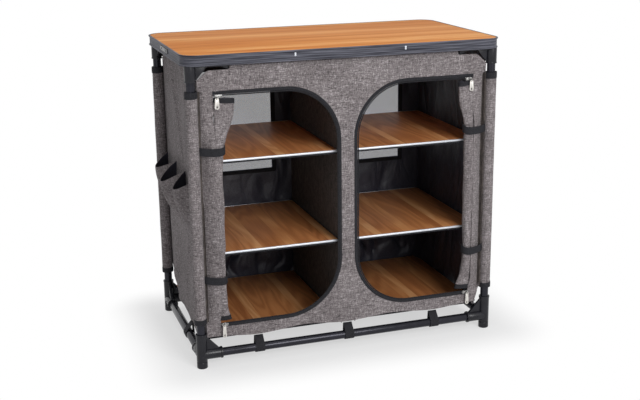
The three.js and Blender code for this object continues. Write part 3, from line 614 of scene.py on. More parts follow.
def make_rim():
    section, path = rim_section(), rim_path()

    def place(u, v):
        centre, out = path[round(u * len(path)) % len(path)]
        inset, height = section[round(v * len(section)) % len(section)]
        return centre + out * (RIM_CORNER - inset) + Vector((0, 0, height))

    rim = smoothed(outward(laid("rim_extrusion", len(path), len(section), place)), 40)
    dressed(rim, [RIM_METAL], "worktop_rim", "worktop")
    rivets = []
    for x in RIVETS:
        for height in RIVET_HEIGHTS:
            bpy.ops.mesh.primitive_uv_sphere_add(
                segments=16, ring_count=8, radius=RIVET_RADIUS,
                location=(x, rim_low.y + RIM_LIP, height), scale=(1, 0.5, 1))
            rivets.append(named("rivet"))
    dressed(smoothed(joined("rim_rivets", rivets)), [TRIM_METAL], body="worktop")
    shells = [bevelled(block("catch_plate", (rim_low.x + 0.9 * MM, *CATCH_LOW),
                             (rim_low.x + RIM_LIP + 1 * MM, *CATCH_HIGH)), 0.8 * MM)]
    for y in CATCH_PINS:
        bar = rod("catch_pin", (rim_low.x + 0.2 * MM, y, PIN_HEIGHT),
                  (rim_low.x + RIM_LIP, y, PIN_HEIGHT), 2.6 * MM, 20)
        shells.append(bevelled(bar, 0.4 * MM))
    dressed(smoothed(joined("rim_catch", shells)), [PLASTIC], body="worktop")


def make_board():
    board = block("worktop_panel", *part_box("worktop_board"))
    rounded(board, 2, RIM_CORNER - RIM_LIP - RIM_WALL, RIM_STEPS)
    smoothed(bevelled(board, 0.5 * MM, 2, 60))
    dressed(board, [TOP_WOOD], "worktop_board", "worktop")


SLEEVE_RADIUS = 14 * MM  # of a plastic sleeve on a leg
BRACKET_ARM, BRACKET_HALF, BRACKET_PLATE = mm(94, 8, 3.7)
WEB_DROP, LUG_START, LUG_DROP = mm(31, 72, 8)


def arm_frames(sign_x, sign_y):
    """For each of a corner's two arms: a function that places a point by its reach along the
    arm, its height and its offset across the arm, and the direction across."""
    centre = Vector((sign_x * LEG_X, sign_y * LEG_Y, 0))
    for axis in (Vector((-sign_x, 0, 0)), Vector((0, -sign_y, 0))):
        across = Vector((abs(axis.y), abs(axis.x), 0))

        def at(reach, height, offset=0.0):
            return centre + axis * reach + across * offset + Vector((0, 0, height))

        yield at, across


def rib(name, at, across, half, outline, edge):
    """A gusset from reaches and heights, half its thickness given in mm."""
    corners = [at(reach, height, -half * MM) for reach, height in outline]
    return bevelled(plate(name, corners, across * (2 * half) * MM), edge, 2)


def make_bracket(name, sign_x, sign_y):
    low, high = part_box(f"top_bracket_{name}")
    x, y, top = sign_x * LEG_X, sign_y * LEG_Y, high.z
    under = top - BRACKET_PLATE
    shells = [bevelled(rod("sleeve", (x, y, low.z), (x, y, top), SLEEVE_RADIUS), 0.8 * MM),
              bevelled(rod("collar", (x, y, low.z), (x, y, low.z + 3.5 * MM),
                           SLEEVE_RADIUS + 0.7 * MM), 0.6 * MM)]
    for at, across in arm_frames(sign_x, sign_y):
        arm = block("arm", at(0, under, -BRACKET_HALF), at(BRACKET_ARM, top, BRACKET_HALF))
        web = ((10 * MM, top - MM), (10 * MM, under - WEB_DROP), (15 * MM, under - WEB_DROP),
               (42 * MM, under), (42 * MM, top - MM))
        lug = ((LUG_START, top - MM), (LUG_START, under), (BRACKET_ARM, under - LUG_DROP),
               (BRACKET_ARM, top - MM))
        shells += [bevelled(arm, 0.8 * MM), rib("web", at, across, 3, web, 0.7 * MM),
                   rib("lug", at, across, 5, lug, 0.7 * MM)]
    bracket = smoothed(joined(f"corner_bracket_{name}", shells))
    dressed(bracket, [PLASTIC], f"top_bracket_{name}", "worktop")


# Frame of tubes

FLUTES = 8
FLUTE_LENGTH, FLUTE_DEPTH, FLUTE_EDGE = mm(66, 0.9, 0.5)


def make_leg(name, sign_x, sign_y):
    low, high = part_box(f"leg_{name}")
    x, y = sign_x * LEG_X, sign_y * LEG_Y
    leg = rod(f"leg_tube_{name}", (x, y, low.z), (x, y, high.z), LEG_RADIUS)
    foot_of_flutes = high.z - FLUTE_LENGTH
    pick(leg, "FACE")
    bpy.ops.mesh.bisect(plane_co=(x, y, foot_of_flutes), plane_no=(0, 0, 1))
    column = 2 * pi / ROUND

    def in_flute(face):
        centre = face.calc_center_median()
        turn = atan2(centre.y - y, centre.x - x) / column
        upright = abs(face.normal.z) < 0.5 and centre.z > foot_of_flutes
        return upright and round(turn - 0.5) % (ROUND // FLUTES) < 3

    pick(leg, "FACE", in_flute)
    bpy.ops.mesh.inset(thickness=FLUTE_EDGE)
    shrink = (LEG_RADIUS - FLUTE_DEPTH) / LEG_RADIUS
    bpy.ops.transform.resize(value=(shrink, shrink, 1), center_override=(x, y, foot_of_flutes))
    object_mode()
    dressed(smoothed(leg, 20), [TUBE_METAL], f"leg_{name}")


SOCKET_REACH, SOCKET_RADIUS, COLLAR_RADIUS, COLLAR_LENGTH = mm(54, 14, 15.4, 5)
SCREW_REACH, SCREW_HALF, SCREW_RADIUS = mm(24, 15, 2.4)
GUSSET_TOP = 84 * MM


def make_connector(name, sign_x, sign_y):
    low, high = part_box(f"base_connector_{name}")
    x, y, z = sign_x * LEG_X, sign_y * LEG_Y, TUBE_HEIGHT
    shells = [
        bevelled(rod("post", (x, y, low.z), (x, y, high.z), SLEEVE_RADIUS), 0.7 * MM),
        bevelled(rod("post_collar", (x, y, high.z - COLLAR_LENGTH), (x, y, high.z),
                     SLEEVE_RADIUS + 0.8 * MM), 0.6 * MM)]
    for at, across in arm_frames(sign_x, sign_y):
        web = ((9 * MM, z), (46 * MM, z), (46 * MM, z + 14 * MM), (14.3 * MM, GUSSET_TOP),
               (9 * MM, GUSSET_TOP))
        shells += [
            bevelled(rod("socket", at(0, z), at(SOCKET_REACH, z), SOCKET_RADIUS), 0.6 * MM),
            bevelled(rod("collar", at(SOCKET_REACH - COLLAR_LENGTH, z), at(SOCKET_REACH, z),
                         COLLAR_RADIUS), 0.9 * MM),
            rib("web", at, across, 4, web, 0.8 * MM),
            bevelled(rod("screw", at(SCREW_REACH, z, -SCREW_HALF), at(SCREW_REACH, z, SCREW_HALF),
                         SCREW_RADIUS, 16), 0.5 * MM)]
    connector = smoothed(joined(f"base_corner_{name}", shells))
    dressed(connector, [PLASTIC], f"base_connector_{name}")


CAP_TOP, SPIGOT_START, SPIGOT_RADIUS = mm(17.7, 12, 8)


def make_foot(name):
    low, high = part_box(f"foot_{name}")
    x, y = (low.x + high.x) / 2, (low.y + high.y) / 2
    cap = bevelled(rod("cap", (x, y, low.z), (x, y, CAP_TOP), SLEEVE_RADIUS), 2.4 * MM, 4)
    spigot = rod("spigot", (x, y, SPIGOT_START), (x, y, high.z), SPIGOT_RADIUS)
    foot = smoothed(joined(f"foot_cap_{name}", [cap, spigot]))
    dressed(foot, [PLASTIC], f"foot_{name}")


def make_base_tube(name):
    low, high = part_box(f"base_tube_{name}")
    middle = (low + high) / 2
    start, end = middle.copy(), middle.copy()
    axis = 0 if high.x - low.x > high.y - low.y else 1
    start[axis], end[axis] = low[axis], high[axis]
    tube = smoothed(bevelled(rod(f"base_rail_{name}", start, end, LEG_RADIUS), 0.8 * MM))
    dressed(tube, [TUBE_METAL], f"base_tube_{name}")


# Cloth shapes

def share_of(value, low, high):
    return min(1.0, max(0.0, (value - low) / (high - low)))


def step(value, low, high):
    """Rises smoothly from 0 to 1 between two values."""
    t = share_of(value, low, high)
    return t * t * (3 - 2 * t)


def between(low, high, share):
    return low + (high - low) * share


def outside(value, low, high):
    """How far a value lies outside a span, negative inside."""
    return abs(value - (low + high) / 2) - (high - low) / 2


def arc(centre, radii, start, sweep, count):
    """Points of an ellipse's arc, both ends included."""
    return [(centre[0] + radii[0] * cos(start + sweep * i / count),
             centre[1] + radii[1] * sin(start + sweep * i / count)) for i in range(count + 1)]


def ripple(a, b, size_a, size_b, seed):
    """Smooth noise between about -1 and 1, with its size along each direction."""
    return noise.noise(Vector((a / size_a, b / size_b, seed)))


def crease(a, b, size_a, size_b, seed):
    """Sharp crests with smooth hollows between them, from 0 to 1."""
    return (1 - abs(ripple(a, b, size_a, size_b, seed))) ** 4


def flipped(u, sign):
    """Counts u back on the right-hand side, so that faces point the same way on both."""
    return 1 - u if sign > 0 else u


def opening_distance(x, z):
    """From the edge of the nearer door opening in the plane of the panel, negative inside."""
    x, radius = abs(x), 0.0
    if x < (OPENING_INNER + OPENING_OUTER) / 2:
        high = z > (OPENING_BOTTOM + OPENING_TOP) / 2
        radius = OPENING_TOP_RADIUS if high else OPENING_BOTTOM_RADIUS
    across = outside(x, OPENING_INNER, OPENING_OUTER) + radius
    up = outside(z, OPENING_BOTTOM, OPENING_TOP) + radius
    return min(max(across, up), 0) + hypot(max(across, 0), max(up, 0)) - radius


def opening_path(offset, spacing):
    """Points along the curved edge of a right-hand opening, moved outwards by an offset."""
    inner, outer = OPENING_INNER - offset, OPENING_OUTER
    top, bottom = OPENING_TOP + offset, OPENING_BOTTOM - offset
    high, low = OPENING_TOP_RADIUS + offset, OPENING_BOTTOM_RADIUS + offset

    def run(start, end):
        count = max(1, round(dist(start, end) / spacing))
        return [[between(a, b, i / count) for a, b in zip(start, end)] for i in range(count)]

    def bend(centre, radius, start):
        count = max(4, round(radius * pi / 2 / spacing))
        return arc(centre, (radius, radius), start, pi / 2, count)[:-1]

    return [*run((outer, top), (inner + high, top)),
            *bend((inner + high, top - high), high, pi / 2),
            *run((inner, top - high), (inner, bottom + low)),
            *bend((inner + low, bottom + low), low, pi),
            *run((inner + low, bottom), (outer, bottom)), (outer, bottom)]


def heading(path, index):
    """Direction of a path at one of its points."""
    ahead = Vector(path[min(len(path) - 1, index + 1)])
    return (ahead - Vector(path[max(0, index - 1)])).normalized()


def edge_point(path, index):
    """A point of a path round an opening, with the direction into the opening."""
    along = heading(path, index)
    return Vector(path[index]), Vector((along.y, -along.x))


STRIP_SINK, STRIP_RISE = mm(9, 16)  # of the panel's outer strip, beside a leg and on a roll
STRIP_BENDS = {-1: 0.86, 1: 0.8}  # where it has turned back, as a share of its width
# Width of the strip of painted shade in the gap beside each leg sleeve
SEAM_SHADE_WIDTH = 7.5 * MM  # wide
SLEEVE_LOW, SLEEVE_HIGH = SIDE_FOOT + 60 * MM, 719 * MM  # the cloth sleeves on the legs
ARM_X, WEB_X, ARM_TOP = 306.5, 360, 769.5  # mm: under the bracket's arm and web
WEB_FALL, WEB_RUN = 24.5, 26.7  # mm
DRAWN_FOOT, DRAWN_TOP = (0.118, 0.165), (0.59, 0.655)  # where the strip leaves the rolled door
SLEEVED_FOOT, SLEEVED_TOP = (0.1, 0.14), (0.7, 0.74)  # where it leaves the leg sleeve
CORNER_DRAW, CORNER_DRAW_TOP, CORNER_DRAW_HEIGHT = mm(22, 150, 75)


def front_hem(x):
    return HEM_HEIGHT - HEM_SWING * cos(2 * pi * x / STRAP_SPACING)


def back_hem(x):
    """Lower than the front's."""
    return HEM_HEIGHT - HEM_DROP - 2 * MM * cos(2 * pi * x / STRAP_SPACING)


def end_panel_top(x):
    """Under the rim, and lower under the bracket's arm, lug and web."""
    x = abs(x)
    if x < ARM_X * MM:
        return PANEL_TOP
    if x < WEB_X * MM:
        return ARM_TOP * MM
    return (ARM_TOP - WEB_FALL * (x / MM - WEB_X) / WEB_RUN) * MM


def corner_draw(x, y, z):
    """How far a lower corner of the cloth box draws in at a height, but not the nearest one."""
    if x < 0 and y < 0:
        return 0.0
    return CORNER_DRAW * share_of(CORNER_DRAW_TOP - z, 0, CORNER_DRAW_HEIGHT) ** 1.6


def drawn_round(z):
    """1 at heights where the panel's strip is drawn round the rolled door, and 0 at its ends."""
    return (1 - step(z, *DRAWN_TOP)) * step(z, *DRAWN_FOOT)


def front_relief(x, z):
    """How far the front panel stands forward of its plane."""
    calm = step(opening_distance(x, z), 2 * MM, 40 * MM)
    slack = 1.5 * ripple(x, z, 0.11, 0.13, 1.3) + 0.7 * ripple(x, z, 0.035, 0.05, 5.1)
    corner = step(abs(x), 0.2, 0.32) * step(z, 0.66, 0.72)
    pull = 1.6 * crease(x + z * 0.7, z, 0.07, 0.3, 2.2) * corner
    hem = 2.2 * cos(2 * pi * x / STRAP_SPACING + pi) * (1 - step(z, 0.075, 0.12))
    across = share_of(abs(x), OPENING_OUTER, PANEL_HALF)
    bend = STRIP_BENDS[-1 if x < 0 else 1] * (1 + 0.12 * ripple(0, z, 1, 0.09, 6.6))
    bend -= 0.1 * step(z, 0.4, 0.54)
    fall = min(1.0, across / bend) ** 1.6
    round_roll = STRIP_RISE - (STRIP_RISE + STRIP_SINK) * fall
    round_roll *= step(abs(x), OPENING_OUTER - 12 * MM, OPENING_OUTER)
    to_sleeve = -STRIP_SINK * step(across, 0.55, 0.95)
    to_sleeve *= step(z, *SLEEVED_FOOT) * (1 - step(z, *SLEEVED_TOP))
    drawn = drawn_round(z)
    return (calm * slack + pull + hem) * MM + round_roll * drawn + to_sleeve * (1 - drawn)


def make_seam_shade_strip(name, sign):
    """A strip of darkened melange as painted shade, for the shadowed gap between the panel's outer
    seam and the leg sleeve.
    """
    def place(u, v):
        inwards = SEAM_SHADE_WIDTH * flipped(u, sign)
        x = sign * (PANEL_HALF + 0.5 * MM - inwards)
        z = between(SLEEVE_LOW, SLEEVE_HIGH, v)
        on_side = 1 - step(inwards, 0.45 * SEAM_SHADE_WIDTH, 0.65 * SEAM_SHADE_WIDTH)
        relief = front_relief(x, z)
        return x, FRONT_Y - relief - max(0, 1 * MM - relief) * on_side - 0.7 * MM, z

    # Painted shade: darkened cloth where the gap beside the sleeve lies in shadow.
    tape = thickened(laid(f"seam_shade_strip_{name}", 8, 110, place), 0.6 * MM)
    dressed(tape, [SHADED_MELANGE])


def end_panel(name, way, face, hem, relief):
    """The sheet of the front or back panel before its holes; way is -1 for the front."""
    columns = round(2 * PANEL_HALF / CELL)
    rows = round((PANEL_TOP - HEM_HEIGHT) / CELL)

    def place(u, v):
        x = way * (1 - 2 * u) * PANEL_HALF
        z = between(hem(x), end_panel_top(x), v)
        x -= corner_draw(x, face, z) * copysign((x / PANEL_HALF) ** 6, x)
        return x, face + way * relief(x, z), z

    return laid(name, columns, rows, place)


def make_front_panel():
    panel = end_panel("front_cloth", -1, FRONT_Y, front_hem, front_relief)
    holed(panel, lambda x, z: opening_distance(x, z) < 0)
    nudge = 0.1 * MM
    for vertex in panel.data.vertices:
        x, z = vertex.co.x, vertex.co.z
        gap = opening_distance(x, z)
        if abs(gap) < 0.75 * CELL:
            slope = Vector((opening_distance(x + nudge, z) - opening_distance(x - nudge, z), 0,
                            opening_distance(x, z + nudge) - opening_distance(x, z - nudge)))
            if slope.length > 0:
                vertex.co -= slope.normalized() * gap
    panel = thickened(panel, CLOTH, (MELANGE, LINING))
    dressed(panel, node="front_panel")


FACING_HALF, FACING_WIDTH, FACING_HEIGHT = mm(303, 11, 776)
SEAM_X, SEAM_LOW, SEAM_LENGTH, SEAM_WIDTH = mm(341, 716, 50, 2.4)


def front_strip(name, points, width, proud):
    """A narrow strip of the same cloth laid along a seam of the front panel."""
    count = len(points) - 1

    def place(u, v):
        x, z = points[round(u * count)]
        along = heading(points, round(u * count))
        side = (v - 0.5) * width
        rise = proud * (1 - (2 * v - 1) ** 6)
        x, z = x - along.y * side, z + along.x * side
        return x, FRONT_Y - front_relief(x, z) - rise, z

    return laid(name, count, 4, place)


def make_front_seams():
    top = [(-FACING_HALF + 2 * FACING_HALF * i / 120, FACING_HEIGHT) for i in range(121)]
    strips = [front_strip("facing", top, FACING_WIDTH, 3.6 * MM)]
    for _, sign in SIDES:
        upright = [(sign * SEAM_X, SEAM_LOW + SEAM_LENGTH * i / 20) for i in range(21)]
        strips.append(front_strip("seam", upright, SEAM_WIDTH, 0.9 * MM))
    dressed(thickened(joined("front_seams", strips), 0.4 * MM), [MELANGE])


TAPE_SPACING, TOOTH_SPACING, TOOTH_LINE, TAPE_THICKNESS = mm(5, 1.1, -4.2, 2)
TAPE_SECTION = (  # mm outwards from the opening's edge, and height in the tape's thicknesses
    (2.2, 0.0), (2.2, 0.8), (1.8, 1.0), (-2.2, 1.0), (-5.4, 0.95), (-6.2, 0.6), (-6.2, -1.3),
    (2.2, -1.5))


def make_door_tape(name, sign):
    """Zipper tape round an opening, with its row of teeth along the inner edge."""
    path, tooth_path = opening_path(0, TAPE_SPACING), opening_path(TOOTH_LINE, TOOTH_SPACING)
    count, total = len(path) - 1, len(tooth_path) - 1

    def place(u, v):
        spot, inwards = edge_point(path, round(u * count))
        out, proud = TAPE_SECTION[round(v * len(TAPE_SECTION)) % len(TAPE_SECTION)]
        spot = spot - inwards * (out * MM)
        return sign * spot.x, FRONT_Y - proud * TAPE_THICKNESS, spot.y

    tape = laid(f"opening_tape_{name}", count, len(TAPE_SECTION), place)
    dressed(smoothed(outward(tape), 50), [WEBBING])

    def tooth(u, v):
        index = round(u * total)
        spot, inwards = edge_point(tooth_path, index)
        bulk = 1.0 if index % 2 else 0.72
        angle = 2 * pi * v
        spot = spot + inwards * 1.7 * MM * bulk * cos(angle)
        rise = 1.1 * MM * bulk * sin(angle)
        return sign * spot.x, FRONT_Y - TAPE_THICKNESS - rise, spot.y

    teeth = laid(f"opening_teeth_{name}", total, 6, tooth)
    dressed(smoothed(outward(teeth), 80), [WEBBING])


# Rolled doors

ROLL_BOTTOM, ROLL_TOP = roll_low.z, roll_high.z + 3 * MM
ROLL_COLUMNS, ROLL_ROWS = 170, 110
ROLL_TURNS = 5.6
ROLL_LAYER, ROLL_CORE = mm(1.45, 1.2)  # one turn's thickness, and the least half width
ROLL_DEPTH, ROLL_END_DEPTH = mm(28, 19)
ROLL_WIDTHS = {-1: mm(30, 27, 57), 1: mm(42, 31, 42)}  # at the foot, the waist and the top
ROLL_SEAM = 8.5 * MM  # under the panel's straight edge
ROLL_SLANT, BAND_HEIGHT = mm(5, 12)
TIE_HEIGHTS, TIE_WIDTH = mm(239, 572), 20 * MM
TIE_START, TIE_ROUND = 10, 20  # its steps on the panel and round the roll
PINCH_HEIGHT, PINCH_WIDTH, PINCH_DEPTH = mm(16, 1.6, 2.5)  # of a roll under its ties


def roll_at(sign, z):
    """Width, depth, forward place and outermost edge of a rolled door at a height."""
    share = (z - ROLL_BOTTOM) / (ROLL_TOP - ROLL_BOTTOM)
    foot, waist, top = ROLL_WIDTHS[sign]
    width = between(foot, waist, step(share, 0, 0.16))
    width = between(width, top, step(share, 0.68, 1))
    ends = step(share, 0.68, 0.9) + 1 - step(share, 0.02, 0.14)
    depth = between(ROLL_DEPTH, ROLL_END_DEPTH, ends)
    forward = (5 - 4 * ends) * MM
    outer = OPENING_OUTER - 0.5 * MM + ROLL_SEAM * drawn_round(z)
    pinch = sum(exp(-((z - tie) / PINCH_HEIGHT) ** 2) for tie in TIE_HEIGHTS)
    return width - PINCH_WIDTH * pinch, depth - PINCH_DEPTH * pinch, forward, outer


def roll_point(sign, turn, z, proud=0.0):
    """A point of the spiral; turn runs from 0 on the outside to ROLL_TURNS at the core."""
    width, depth, forward, outer = roll_at(sign, z)
    angle = 2 * pi * turn
    loose = 1 - turn / ROLL_TURNS
    lobes = 0.6 * cos(3 * angle + 4 * z / 0.3) + 0.5 * cos(2 * angle - 3 * z / 0.4)
    inset = turn * ROLL_LAYER + (1.0 + lobes * loose) * MM - proud
    half_width, half_depth = max(width / 2 - inset, ROLL_CORE), max(depth / 2 - inset, ROLL_CORE)
    x = outer - width / 2 + half_width * cos(angle)
    y = PANEL_MIDDLE - forward - half_depth * sin(angle)
    x += 2.2 * MM * loose * ripple(z, turn, 0.05, 0.3, 7.7 + sign)
    y -= 2.0 * MM * loose * ripple(z, turn, 0.026, 0.1, 3.1 + sign)
    return sign * x, y, z


def roll_end(turn, direction, share):
    """Height in the tape band at an end of the roll; share runs to 1 at the very end."""
    slant = ROLL_SLANT * (1 - cos(2 * pi * turn)) / 2 + 0.6 * MM * turn
    if direction > 0:
        return ROLL_TOP - slant - BAND_HEIGHT * (1 - share)
    return ROLL_BOTTOM + slant * 0.5 + BAND_HEIGHT * (1 - share)


def make_rolled_door(name, sign):
    def place(u, v):
        turn = ROLL_TURNS * flipped(u, sign)
        return roll_point(sign, turn, between(roll_end(turn, -1, 1), roll_end(turn, 1, 1), v))

    door = laid(f"door_roll_{name}", ROLL_COLUMNS, ROLL_ROWS, place)
    door = thickened(door, THIN_CLOTH, (MELANGE, LINING))
    dressed(door, node=f"rolled_door_{name}")
    bands = []
    for direction in (1, -1):
        def edge(u, v):
            turn = ROLL_TURNS * flipped(u, sign)
            share = v if direction > 0 else 1 - v
            return roll_point(sign, turn, roll_end(turn, direction, share), 0.6 * MM)
        bands.append(laid("band", ROLL_COLUMNS, 5, edge))
    tape = thickened(joined(f"door_tape_{name}", bands), 1.2 * MM)
    dressed(tape, [WEBBING])


def make_tie(name, sign, level, height):
    """A strap from the panel's edge round a rolled door."""
    width, depth, forward, outer = roll_at(sign, height)
    width, depth = width + 3 * MM, depth + 6 * MM
    centre_x = outer - width / 2 + 1.3 * MM
    centre_y = PANEL_MIDDLE - forward
    over_roll = centre_y - depth / 2 * 0.95
    path = []
    for i in range(TIE_START):
        share = i / TIE_START
        x = between(PANEL_HALF, centre_x + width * 0.3, share)
        bridge = FRONT_Y - 2 * MM + (over_roll - FRONT_Y + 2 * MM) * share ** 0.6
        path.append((x, min(bridge, FRONT_Y - front_relief(sign * x, height) - 2 * MM)))
    path += arc((centre_x, centre_y), (width / 2, depth / 2), -0.4 * pi, -0.85 * pi, TIE_ROUND)
    count = len(path) - 1

    def place(u, v):
        x, y = path[round(u * count)]
        sag = -3.2 * sin(pi * min(1.0, u * 1.35)) + 5.5 * step(u, 0.62, 1)
        z = height + (sag + (v - 0.5) * TIE_WIDTH / MM) * MM
        return sign * x, y, z

    tie = laid(f"roll_tie_{level}_{name}", count, 6, place)
    pick(tie, "FACE")
    if sign < 0:
        bpy.ops.mesh.flip_normals()
    object_mode()
    tie = thickened(tie, 1.5 * MM)
    smoothed(bevelled(tie, 0.35 * MM, 2, 50), 50)
    dressed(tie, [WEBBING], f"door_tie_{level}_{name}")


# Sides

SLEEVE_CLOTH = 15 * MM  # radius
SIDE_HALF = 217.2 * MM
FLARE_Y, FLARE_WIDTH = mm(-155, 50)  # a fold that stands out near the side's front foot
NOTCH_Y, NOTCH_TOP = mm(207.5, 745)  # the side's upper corners, clear of the brackets


def side_relief(sign, y, z):
    """How far a side panel stands out of its plane."""
    along = ripple(y + 0.1 * z, z, 0.07, 0.45, 3.3 + sign)
    broad = ripple(y, z, 0.16, 0.3, 8.1 + sign)
    flare = exp(-((y - FLARE_Y) / FLARE_WIDTH) ** 2) * (1 - step(z, 0.12, 0.4))
    edge = step(SIDE_HALF - abs(y), 0, 45 * MM)
    folds = 6.5 * crease(y + 0.35 * z, z, 0.075, 0.5, 2.9 + sign) * (1 - step(z, 0.3, 0.5))
    folds *= step(z, 0.06, 0.15)
    folds += 5.0 * crease(y - 0.25 * z, z, 0.1, 0.4, 7.9 + sign) * step(z, 0.25, 0.6)
    return (edge * (4.2 * along + 4.0 * broad + folds + 1.0) + 7 * flare * edge) * MM


def side_hem(y):
    """The side panel's foot, which rises to its corners."""
    return (62 + 9 * step(abs(y), 0.1, SIDE_HALF) ** 2 + 3 * sin(y / 0.04)) * MM


def make_side_panel(name, sign):
    columns = round(2 * SIDE_HALF / CELL)
    rows = round((PANEL_TOP - SIDE_FOOT) / CELL)

    def place(u, v):
        y = (2 * u - 1) * SIDE_HALF * sign
        top = PANEL_TOP if abs(y) < NOTCH_Y else NOTCH_TOP
        z = between(side_hem(y), top, v)
        inset = corner_draw(sign, y, z) * abs(y / SIDE_HALF) ** 5
        return sign * (PANEL_HALF + side_relief(sign, y, z) - inset), y, z

    panel = laid(f"side_cloth_{name}", columns, rows, place)
    panel = thickened(panel, 2 * MM, (MELANGE, LINING))
    dressed(panel, node=f"side_panel_{name}")


def make_sleeves(name, sign):
    """The cloth sleeves round both legs of a side, with a binding at each end."""
    sleeves, bindings = [], []
    for sign_y in (-1, 1):
        def on_leg(radius, angle, z):
            return (sign * LEG_X + radius * cos(angle),
                    sign_y * LEG_Y + radius * sin(angle), z)

        def cloth(u, v):
            angle = 2 * pi * u
            z = between(SLEEVE_LOW, SLEEVE_HIGH, v)
            play = 0.5 * ripple(cos(angle) * 0.05 + 0.1 * sign_y, z, 0.05, 0.06, 2.5)
            play += 0.4 * ripple(angle / 40, z, 0.04, 0.5, 6.5)
            return on_leg(SLEEVE_CLOTH + play * MM, angle, z)

        sleeves.append(thickened(outward(laid("sleeve", 32, 110, cloth)), SINGLE_CLOTH))
        for low, high in ((SLEEVE_LOW, SLEEVE_LOW + 12 * MM), (SLEEVE_HIGH - 14 * MM, SLEEVE_HIGH)):
            def ring(u, v):
                angle = 2 * pi * u
                return on_leg(SLEEVE_CLOTH + (0.9 + 0.3 * sin(pi * v)) * MM, angle,
                              low - 1 * MM + (high - low + 2 * MM) * v
                              + 0.8 * MM * sin(angle + 1))
            bindings.append(thickened(outward(laid("binding", 32, 6, ring)), 2.4 * MM))
    sleeve = dressed(joined(f"leg_sleeves_{name}", sleeves), [MELANGE])
    dressed(joined(f"sleeve_bindings_{name}", bindings), [WEBBING])


POCKETS = ((45, 30, 1.0), (53, 40, 0.7), (46, 26, 0.9))  # swell and droop in mm, lean


def make_pockets():
    """A strip of cloth sewn down between three pouches, whose mouths hang open."""
    front, rear = pocket_low.y, pocket_high.y
    foot, rim = pocket_low.z, pocket_high.z

    def place(u, v):
        u = 1 - u
        number = min(len(POCKETS) - 1, int(u * len(POCKETS)))
        swell, droop, lean = POCKETS[number]
        within = sin(pi * (1 - (u * len(POCKETS) - number)) ** lean)
        z = between(foot, rim - droop * MM * within, v)
        bulge = swell * MM * within ** 0.9 * sin(v * pi / 2) ** 1.5
        y = between(front, rear, u)
        sag = 1.2 * MM * ripple(y, z, 0.03, 0.09, 4.4)
        return -PANEL_HALF - 2 * MM - bulge - sag * within - 1.5 * MM, y, z

    pouches = laid("side_pouches", 96, 36, place)
    pouches = thickened(pouches, SINGLE_CLOTH, (MELANGE, LINING))
    dressed(pouches, node="side_pockets")


# Back, floor and divider

WINDOW_INNER, WINDOW_OUTER, WINDOW_BOTTOM, WINDOW_TOP = mm(76, 323, 400, 700)
WINDOW_TAPE, TAPE_OVER = mm(11, 3)  # its width, and how much of it lies over the net
LOW_FOLDS = (0.24, 0.34)  # heights between which the back's deep folds end
BACK_IN = -4  # mm that the back panel may hang inwards between the divider and the sides


def back_relief(x, z):
    """How far the back panel stands behind its plane."""
    slack = 2.2 * ripple(x, z, 0.12, 0.15, 9.2) + 1.1 * ripple(x, z, 0.04, 0.06, 4.9)
    low = 1 - step(z, *LOW_FOLDS)
    bent = x + 0.3 * z + 0.05 * ripple(x, z, 0.09, 0.07, 7.3)
    folds = 15.0 * (crease(bent, z, 0.06, 0.15, 3.7) - 0.4) * low * step(z, 0.065, 0.125)
    folds += 7.0 * (crease(bent - 0.5 * z, z, 0.032, 0.1, 6.1) - 0.4) * low * step(z, 0.06, 0.1)
    folds += 5.0 * (crease(x - 0.2 * z, z, 0.11, 0.5, 5.9) - 0.35) * (1 - low)
    near = max(outside(abs(x), WINDOW_INNER, WINDOW_OUTER), outside(z, WINDOW_BOTTOM, WINDOW_TOP))
    edge = step(PANEL_HALF - abs(x), 0, 45 * MM)
    inwards = BACK_IN * step(abs(x), 22 * MM, 50 * MM)
    return max(inwards, (slack + folds) * edge * step(near, 0, 50 * MM)) * MM


def make_back_panel():
    panel = end_panel("back_cloth", 1, BACK_Y, back_hem, back_relief)
    holed(panel, lambda x, z: (WINDOW_INNER < abs(x) < WINDOW_OUTER
                               and WINDOW_BOTTOM < z < WINDOW_TOP))
    panel = thickened(panel, CLOTH, (MELANGE, LINING))
    dressed(panel, node="back_panel")


def make_window(name, sign):
    """A net with a frame of tape on both faces of the back panel."""
    low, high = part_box(f"mesh_window_{name}")

    def net(u, v):
        x, z = between(low.x, high.x, 1 - u), between(low.z, high.z, v)
        return x, high.y - 0.2 * MM - 0.25 * MM * (1 + ripple(x, z, 0.08, 0.08, 2.1)), z

    window = thickened(laid(f"window_net_{name}", 40, 48, net), 0.4 * MM)
    dressed(window, [NET], f"mesh_window_{name}")
    inner, outer = sign * WINDOW_INNER, sign * WINDOW_OUTER
    corners = [Vector(corner) for corner in (
        (inner, WINDOW_BOTTOM), (outer, WINDOW_BOTTOM), (outer, WINDOW_TOP), (inner, WINDOW_TOP))]
    for side, surface, way in (("inner", low.y, -1), ("outer", BACK_Y, 1)):
        strips = []
        for index, start in enumerate(corners):
            end = corners[(index + 1) % 4]
            along = (end - start).normalized()
            across = Vector((-along.y, along.x)) * (-sign)

            def strip(u, v):
                reach = start - along * 5 * MM + (end - start + along * 10 * MM) * u
                spot = reach + across * (v * WINDOW_TAPE - TAPE_OVER)
                wave = 0.5 * MM * ripple(spot.x, spot.y, 0.03, 0.03, index + 1.5)
                rise = 0.9 * MM * sin(pi * v) + (0.4 + 0.1 * index) * MM
                return spot.x, surface + way * (rise + wave), spot.y

            strips.append(laid("strip", 30, 4, strip))
        binding = outward(joined(f"window_binding_{side}_{name}", strips))
        dressed(thickened(binding, 0.8 * MM, offset=0), [WEBBING])


FLOOR_FRONT = 40 * MM  # from the CAD floor's front edge to this cloth's


def make_floor_panel():
    half_x, front, rear = floor_high.x, floor_low.y + FLOOR_FRONT, floor_high.y

    def place(u, v):
        x, y = (2 * u - 1) * half_x, between(front, rear, v)
        sag = 1.4 * MM * ripple(x, y, 0.1, 0.1, 3.1)
        return x, y, floor_high.z - 1.2 * MM - abs(sag)

    panel = thickened(laid("floor_cloth", 90, 48, place), SINGLE_CLOTH)
    dressed(panel, [LINING], "floor_panel")


